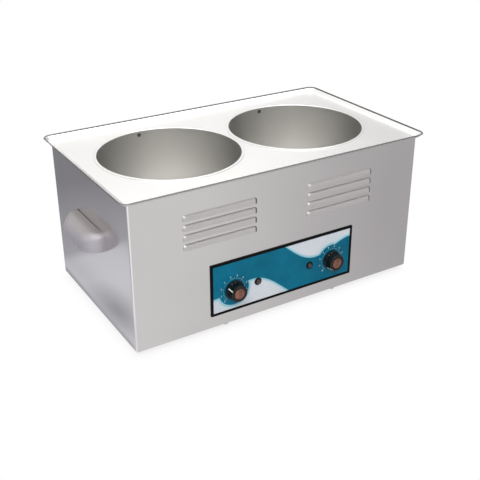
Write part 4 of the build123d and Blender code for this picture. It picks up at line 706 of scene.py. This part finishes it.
def knob_profile():
    """Half section of a knob from its hollow back, over the skirt and the grip to the cap's seat; heights
    run from the back to the face."""
    seat_r = CAP_R + CAP_SEAT_GAP
    return joined(
        (0, BACK_DEPTH), (BACK_R, BACK_DEPTH), (BACK_R, 0),
        bend((KNOB_R - BACK_EDGE_R, BACK_EDGE_R), BACK_EDGE_R, -90, 0, 4),
        bend((KNOB_R - SKIRT_EDGE_R, SKIRT_T - SKIRT_EDGE_R), SKIRT_EDGE_R, 0, 90, 4),
        (KNOB_GRIP_R + STEP_W, SKIRT_T + STEP_H),
        np.linspace((KNOB_GRIP_R, SKIRT_T + SKIRT_EDGE_R), (KNOB_FACE_R, KNOB_L - FACE_EDGE_R), 14),
        bend((KNOB_FACE_R - FACE_EDGE_R, KNOB_L - FACE_EDGE_R), FACE_EDGE_R, 10, 90, 6),
        (CAP_R + CAP_SEAT_BEVEL, KNOB_L), (seat_r, KNOB_L - CAP_SEAT_BEVEL), (seat_r, KNOB_L - CAP_T),
        (0, KNOB_L - CAP_T),
    )


def flutes_from(start):
    """Radius factor of the grip: FLUTES scallops round the knob with a ridge at the start angle, fading
    out at the skirt and at the face. It is 1 - FLUTE_DEPTH * (1 - |cos(FLUTES * turn / 2)| cubed)."""
    def factor(angle, height):
        rise = np.clip((height - SKIRT_T - FLUTE_FOOT) / FLUTE_RISE, 0, 1)
        fade = np.clip((KNOB_L - FLUTE_HEAD - height) / FLUTE_FALL, 0, 1)
        ridge = np.abs(np.cos((angle - start) * FLUTES / 2)) ** 3
        return 1 - FLUTE_DEPTH * rise * fade * (1 - ridge) * (height > SKIRT_T)

    return factor


def cap_profile():
    """Half section of a cap, up from its back: the dome's height at radius r is
    CAP_DOME * (1 - (r / CAP_R) squared)."""
    side_r = CAP_R - CAP_SIDE_GAP
    r = np.linspace(CAP_R - CAP_DOME_INSET, 0, 12)
    crown = np.stack([r, CAP_DOME * (1 - (r / CAP_R) ** 2)], -1)
    return joined((0, -CAP_T), (side_r, -CAP_T), (side_r, 0), crown)


def lens_profile(radius, length):
    """Half section of a lens, up from its back: a quarter ellipse LENS_DOME high on a straight side."""
    a = np.linspace(0, math.pi / 2, 14)
    crown = np.stack([radius * np.cos(a), length - LENS_DOME * (1 - np.sin(a))], -1)
    return joined((0, 0), (radius, 0), crown)


for side in OUTWARD:
    dial, knob, lens = f"{side}_dial", f"{side}_knob", f"{side}_lamp_lens"
    low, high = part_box(knob)
    knob_x, _, knob_z = middle(knob)
    flutes = flutes_from(POINTER_ANGLE[side])
    grip = lathe(knob_profile(), (knob_x, high.y, knob_z), FORWARDS, steps=288, ripple=flutes)
    add_surface(f"{side}_knob_grip", grip, knob_plastic, dial, knob)
    face = (knob_x, low.y, knob_z)
    cap = lathe(cap_profile(), face, FORWARDS, steps=96)
    cap_metal = cap_finish(f"{side}_cap_metal", face)
    add_surface(f"{side}_cap_disc", cap, cap_metal, dial, f"{side}_knob_cap")

    low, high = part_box(lens)
    lens_x, _, lens_z = middle(lens)
    section = lens_profile((high.x - low.x) / 2, high.y - low.y)
    dome = lathe(section, (lens_x, high.y, lens_z), FORWARDS, steps=64)
    add_surface(f"{side}_lens_dome", dome, red_lens, FRAME_BODY, lens)

# Printed scale round each dial: ticks on an arc, and the numbers 0 to 9 outside the longer ones
SCALE_SWEEP, SCALE_R, INK = 270.0, 14.2 * MM, 0.03 * MM
NUMBERS, TICKS_PER_NUMBER = 10, 3
TICKS = (NUMBERS - 1) * TICKS_PER_NUMBER + 1
TICK_L, SHORT_TICK_L, TICK_W = 1.5 * MM, 0.9 * MM, 0.35 * MM
NUMBER_R, NUMBER_SIZE = 18.0 * MM, 3.4 * MM


def round_dial(count):
    """Unit vectors (sin a, cos a) at count angles spread over the sweep, clockwise from its start."""
    a = np.radians(np.linspace(-SCALE_SWEEP / 2, SCALE_SWEEP / 2, count))
    return np.stack([np.sin(a), np.cos(a)], -1)


def tick_marks():
    """Flat points and faces of the ticks: bars from SCALE_R outwards along each unit vector, half of
    TICK_W to either side of it."""
    out = round_dial(TICKS)
    half = TICK_W / 2 * np.stack([out[:, 1], -out[:, 0]], -1)
    length = np.where(np.arange(TICKS) % TICKS_PER_NUMBER == 0, TICK_L, SHORT_TICK_L)
    near, far = SCALE_R * out, (SCALE_R + length)[:, None] * out
    corners = np.stack([near - half, near + half, far + half, far - half], 1)
    return corners.reshape(-1, 2), np.arange(TICKS * 4).reshape(-1, 4)


def number_shape(number):
    """Flat points and triangles of a number's outline, centred on the origin."""
    curve = bpy.data.curves.new("number", "FONT")
    curve.body, curve.size, curve.align_x, curve.align_y = str(number), NUMBER_SIZE, "CENTER", "CENTER"
    curve.resolution_u, curve.fill_mode = 3, "FRONT"
    holder = bpy.data.objects.new("number", curve)
    mesh = bpy.data.meshes.new_from_object(holder)
    mesh.calc_loop_triangles()
    points = np.empty((len(mesh.vertices), 3), np.float32)
    faces = np.empty((len(mesh.loop_triangles), 3), np.int32)
    mesh.vertices.foreach_get("co", points.ravel())
    mesh.loop_triangles.foreach_get("vertices", faces.ravel())
    bpy.data.objects.remove(holder)
    bpy.data.meshes.remove(mesh)
    return points[:, :2], faces


def dial_scale(side):
    """A dial's ticks and numbers as sheets of ink that stand just off the label."""
    ticks, bars = tick_marks()
    numbers = []
    for number, way in enumerate(round_dial(NUMBERS)):
        outline, triangles = number_shape(number)
        numbers.append((outline + NUMBER_R * way, triangles))
    outlines, triangles = stacked(*numbers)
    flat = np.concatenate([ticks, outlines])
    faces = bars.tolist() + (triangles + len(ticks)).tolist()
    axis_x, _, axis_z = middle(f"{side}_shaft")
    points = np.stack([axis_x + flat[:, 0], np.full(len(flat), PANEL_LOW.y - INK), axis_z + flat[:, 1]], -1)
    piece = new_piece(f"{side}_dial_scale", points.tolist(), faces, print_white, FRAME_BODY)
    ink = piece.modifiers.new("ink", "SOLIDIFY")
    ink.thickness, ink.offset = INK, 0.0


for side in OUTWARD:
    dial_scale(side)

# Finishes of the CAD nodes that stay
NODE_FINISH = {
    housing_steel: ["housing", "rear_panel", "base_plate"],
    tray_steel: ["top_tray"],
    strip_steel: ["left_heater_band", "right_heater_band", "bulb_saddles"],
    felt: ["left_insulation", "right_insulation"],
    black_frame: ["panel_frame", "left_lamp_body", "right_lamp_body"],
    panel_finish(): ["panel_label"],
    white_inlay: ["left_pointer", "right_pointer"],
    ceramic: ["left_thermostat", "right_thermostat", "left_cutout", "right_cutout"],
    turned_steel: ["left_shaft", "right_shaft"],
    zinc: ["tray_nuts", "band_screws", "cutout_nuts", "saddle_nuts", "thermostat_nuts", "lamp_clips",
           "handle_screws", "foot_screws", "base_screws", "rear_screws", "earth_stud", "earth_nuts",
           "terminal_screws"],
    rivet_steel: ["well_rivets"],
    copper: ["left_bulb", "right_bulb"],
    brass: ["terminal_barrels"],
    cream_plastic: ["terminal_block"],
    gland_nylon: ["gland_body", "gland_locknut", "gland_dome_nut"],
    rubber: ["gland_seal", "front_left_foot", "rear_left_foot", "front_right_foot", "rear_right_foot"],
}
for material, names in NODE_FINISH.items():
    for name in names:
        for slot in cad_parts[name].material_slots:
            slot.material = material

# Floor. The zones that shiny surfaces see each start and stop along X or Y, in metres, and have levels of
# light before and after, where 1 is white
SHEET_SLANT, SHEET_FADE, SHEET_LEVELS = 0.655, (-0.265, 0.125), (0.90, 0.56)    # along X + SHEET_SLANT * Y
SHEET_LEFT_X, SHEET_LEFT_LEVELS = (-0.22, -0.18), (0.9, 1.0)
BESIDE_Y, BESIDE_LEVELS = (-0.112, -0.085), (1.0, 1.08)  # from in front of the object to beside it
SHADE_X, SHADE_Y = (-0.250, -0.196), (-0.10, 0.08)       # box of the shade under the left handle
SHADE_SOFT, SHADE_DEPTHS = (0.1, 1.15), (0.46, 0.0)      # from the box's middle outwards, in half boxes
FOOT_LEFT_X, FOOT_RIGHT_X, FOOT_DEPTHS = (-0.2095, -0.2065), (-0.195, -0.190), (0.0, 0.4)
PAST_LEFT_X, PAST_REAR_Y, PAST_REAR_X = (-0.32, -0.295), (0.145, 0.17), (-0.17, -0.07)
AT_RIGHT_X, AT_RIGHT_Y, AT_RIGHT_LEVELS = (0.17, 0.23), (-0.06, 0.0), (1.0, 0.3)
BEYOND_Y, BEYOND_LEVELS = (0.15, 0.42), (0.48, 0.27)
FRONT_LEFT_X, FRONT_LEFT_Y = (-0.28, -0.22), (-0.125, -0.1)
FLOOR_DARK, FLOOR_LIGHT, FLOOR_LIGHT_BESIDE = srgb(38, 30, 38), (1, 1, 1, 1), (0.915, 0.93, 0.985, 1)
SHADOW_REACH, SHADOW_LEVEL = 14 * MM, 0.72               # the contact shadow that the camera sees
FLOOR_SIZE = 8.0


def mix_shaders(tree, amount, first, second):
    """One Mix Shader node: first at 0, second at 1."""
    return put(tree, "ShaderNodeMixShader", {"Fac": amount, 1: first, 2: second}).outputs[0]


def floor_finish():
    """Pale floor, clear from below. The camera sees white dimmed by the object's shadow. Shiny surfaces
    see a bright sheet under the object that falls off to the right, and dimmer floor past its left, rear
    and right edges."""
    material, tree, shader = bare_material("studio_floor")
    shader.inputs["Base Color"].default_value = (0.8, 0.8, 0.8, 1)
    shader.inputs["Roughness"].default_value = 0.9
    shader.inputs["Specular IOR Level"].default_value = 0.0
    place = axes_of(tree, place_in(tree))
    x, y = place["X"], place["Y"]
    beside = ramp(tree, y, *BESIDE_Y)

    # The sheet, shaded under the left handle and at the foot of the left wall
    slanted = arithmetic(tree, "MULTIPLY_ADD", y, SHEET_SLANT, x)
    faded = ramp(tree, slanted, *SHEET_FADE, *SHEET_LEVELS)
    sheet = product(tree, faded, ramp(tree, x, *SHEET_LEFT_X, *SHEET_LEFT_LEVELS))
    in_box = {"X": ramp(tree, x, *SHADE_X, -1.0, 1.0), "Y": ramp(tree, y, *SHADE_Y, -1.0, 1.0)}
    in_box = put(tree, "ShaderNodeCombineXYZ", in_box).outputs[0]
    from_middle = vector_step(tree, "LENGTH", in_box)["Value"]
    under_handle = ramp(tree, from_middle, *SHADE_SOFT, *SHADE_DEPTHS)
    at_foot = product(tree, ramp(tree, x, *FOOT_LEFT_X, *FOOT_DEPTHS), fall(tree, x, *FOOT_RIGHT_X))
    shade = product(tree, largest(tree, under_handle, at_foot), beside)
    sheet = product(tree, sheet, arithmetic(tree, "SUBTRACT", 1.0, shade))

    # Past the sheet it is dim, and white at the front left
    at_right = product(tree, ramp(tree, x, *AT_RIGHT_X), ramp(tree, y, *AT_RIGHT_Y))
    past_rear = product(tree, ramp(tree, y, *PAST_REAR_Y), fall(tree, x, *PAST_REAR_X))
    past = largest(tree, product(tree, fall(tree, x, *PAST_LEFT_X), beside), past_rear, at_right)
    beyond = ramp(tree, y, *BEYOND_Y, *BEYOND_LEVELS)
    beyond = product(tree, beyond, spread(tree, at_right, *AT_RIGHT_LEVELS))
    front_left = product(tree, fall(tree, x, *FRONT_LEFT_X), fall(tree, y, *FRONT_LEFT_Y))
    level = largest(tree, between(tree, past, sheet, beyond), front_left)
    level = product(tree, level, spread(tree, beside, *BESIDE_LEVELS))
    light = blend_colours(tree, beside, FLOOR_LIGHT, FLOOR_LIGHT_BESIDE)
    tone = blend_colours(tree, level, FLOOR_DARK, light)

    # What each kind of ray meets
    rays = put(tree, "ShaderNodeLightPath").outputs
    dull = shader.outputs[0]
    white = put(tree, "ShaderNodeEmission", {"Color": (1, 1, 1, 1), "Strength": 1.0}).outputs[0]
    shiny = put(tree, "ShaderNodeEmission", {"Color": tone, "Strength": 1.0}).outputs[0]
    shadow = put(tree, "ShaderNodeAmbientOcclusion", {"Distance": SHADOW_REACH}, samples=8).outputs["AO"]
    seen = mix_shaders(tree, spread(tree, shadow, SHADOW_LEVEL, 1.0), dull, white)
    top = mix_shaders(tree, rays["Is Camera Ray"], dull, seen)
    top = mix_shaders(tree, rays["Is Glossy Ray"], top, shiny)
    from_below = put(tree, "ShaderNodeNewGeometry").outputs["Backfacing"]
    whole = mix_shaders(tree, from_below, top, put(tree, "ShaderNodeBsdfTransparent").outputs[0])
    out = next(n for n in tree.nodes if n.type == "OUTPUT_MATERIAL")
    tree.links.new(whole, out.inputs["Surface"])
    return material


# Levels of the world's light: on dull surfaces, and of what shiny ones see; 1 is white
DULL_LEVEL, WINDOW_LEVEL, CEILING_LEVEL = 0.55, 1.25, 4.4


def world_light():
    """White all round for the camera, and an even light on dull surfaces. Shiny ones see a wall behind the
    object that is brighter upwards and dimmer to the right, a duller room in front with a window at its
    left, and a bright ceiling. Each ramp has its start and stop along the heading, which is a unit
    vector, and its levels before and after."""
    world = bpy.data.worlds.new("studio")
    bpy.context.scene.world = world
    world.use_nodes = True
    tree = world.node_tree
    tree.nodes.clear()
    heading = axes_of(tree, put(tree, "ShaderNodeTexCoord").outputs["Generated"])
    x, y, z = (heading[axis] for axis in "XYZ")
    across = product(tree, ramp(tree, x, 0.42, 0.575, 0.93, 0.81), ramp(tree, x, 0.57, 0.63, 1.0, 0.60))
    upwards = product(tree, ramp(tree, z, 0.285, 0.325, 0.72, 1.0), ramp(tree, z, 0.28, 0.37, 0.80, 1.42))
    wall = product(tree, across, upwards, ramp(tree, x, 0.1, 0.4, 0.72, 1.0))
    room = ramp(tree, x, -0.5, 0.3, 0.46, 0.74)
    around = between(tree, ramp(tree, y, -0.1, 0.3), room, wall)
    window = product(tree, fall(tree, x, 0.0, 0.25), fall(tree, y, -0.4, -0.15), ramp(tree, z, 0.15, 0.4))
    ceiling = ramp(tree, z, 0.78, 0.92, 0.0, 0.8)
    shiny_level = between(tree, ceiling, between(tree, window, around, WINDOW_LEVEL), CEILING_LEVEL)

    rays = put(tree, "ShaderNodeLightPath").outputs
    level = between(tree, rays["Is Glossy Ray"], DULL_LEVEL, shiny_level)
    straight = largest(tree, rays["Is Camera Ray"], rays["Is Transmission Ray"])
    level = between(tree, straight, level, 1.0)
    shine = put(tree, "ShaderNodeBackground", {"Color": (1, 1, 1, 1), "Strength": level})
    put(tree, "ShaderNodeOutputWorld", {"Surface": shine.outputs[0]})


def soft_box(name, spot, aim, size, watts):
    """Square area lamp at a spot, turned towards a point; shiny surfaces see the world alone."""
    data = bpy.data.lights.new(name, "AREA")
    data.shape, data.size, data.energy = "SQUARE", size, watts
    lamp = bpy.data.objects.new(name, data)
    lamp.visible_glossy = False
    lamp.location = spot
    lamp.rotation_mode = "QUATERNION"
    lamp.rotation_quaternion = (Vector(aim) - Vector(spot)).to_track_quat("-Z", "Y")
    bpy.context.collection.objects.link(lamp)


floor_points = np.array([(-1, -1, 0), (1, -1, 0), (1, 1, 0), (-1, 1, 0)]) * FLOOR_SIZE / 2
floor_mesh = bpy.data.meshes.new("floor")
floor_mesh.from_pydata(floor_points.tolist(), [], [(0, 1, 2, 3)])
floor_mesh.materials.append(floor_finish())
floor = bpy.data.objects.new("floor", floor_mesh)
bpy.context.collection.objects.link(floor)
world_light()
soft_box("key_box", spot=(-0.9, -1.1, 1.5), aim=(0, 0, 0.1), size=0.9, watts=16)
soft_box("top_box", spot=(0.2, 0.3, 1.7), aim=(0, 0, 0.15), size=1.2, watts=12)

# Camera: its spot, direction and lens solved from the photograph's corners and well mouths
FOCAL_PX, FRAME_PX, SENSOR = 819.84, 480, 36.0
CENTRE_PX = (248.66, 221.82)
CAMERA_SPOT = (-0.5004, -0.8382, 0.5445)
CAMERA_AZIMUTH, CAMERA_TILT = 0.55602, 0.44878     # radians to the left of the front, and downwards
camera_data = bpy.data.cameras.new("photo_camera")
camera_data.sensor_width = SENSOR
camera_data.lens = SENSOR * FOCAL_PX / FRAME_PX
camera_data.shift_x = (FRAME_PX / 2 - CENTRE_PX[0]) / FRAME_PX
camera_data.shift_y = (CENTRE_PX[1] - FRAME_PX / 2) / FRAME_PX
camera_data.clip_start, camera_data.clip_end = 0.01, 50
camera = bpy.data.objects.new("photo_camera", camera_data)
bpy.context.collection.objects.link(camera)
level_ahead = Vector((math.sin(CAMERA_AZIMUTH), math.cos(CAMERA_AZIMUTH), 0))
ahead = level_ahead * math.cos(CAMERA_TILT) - Vector((0, 0, math.sin(CAMERA_TILT)))
rightward = Vector((math.cos(CAMERA_AZIMUTH), -math.sin(CAMERA_AZIMUTH), 0))
turned = Matrix((rightward, rightward.cross(ahead), -ahead)).transposed().to_4x4()
camera.matrix_world = Matrix.Translation(CAMERA_SPOT) @ turned
bpy.context.scene.camera = camera
bpy.context.scene.view_settings.view_transform = "Standard"
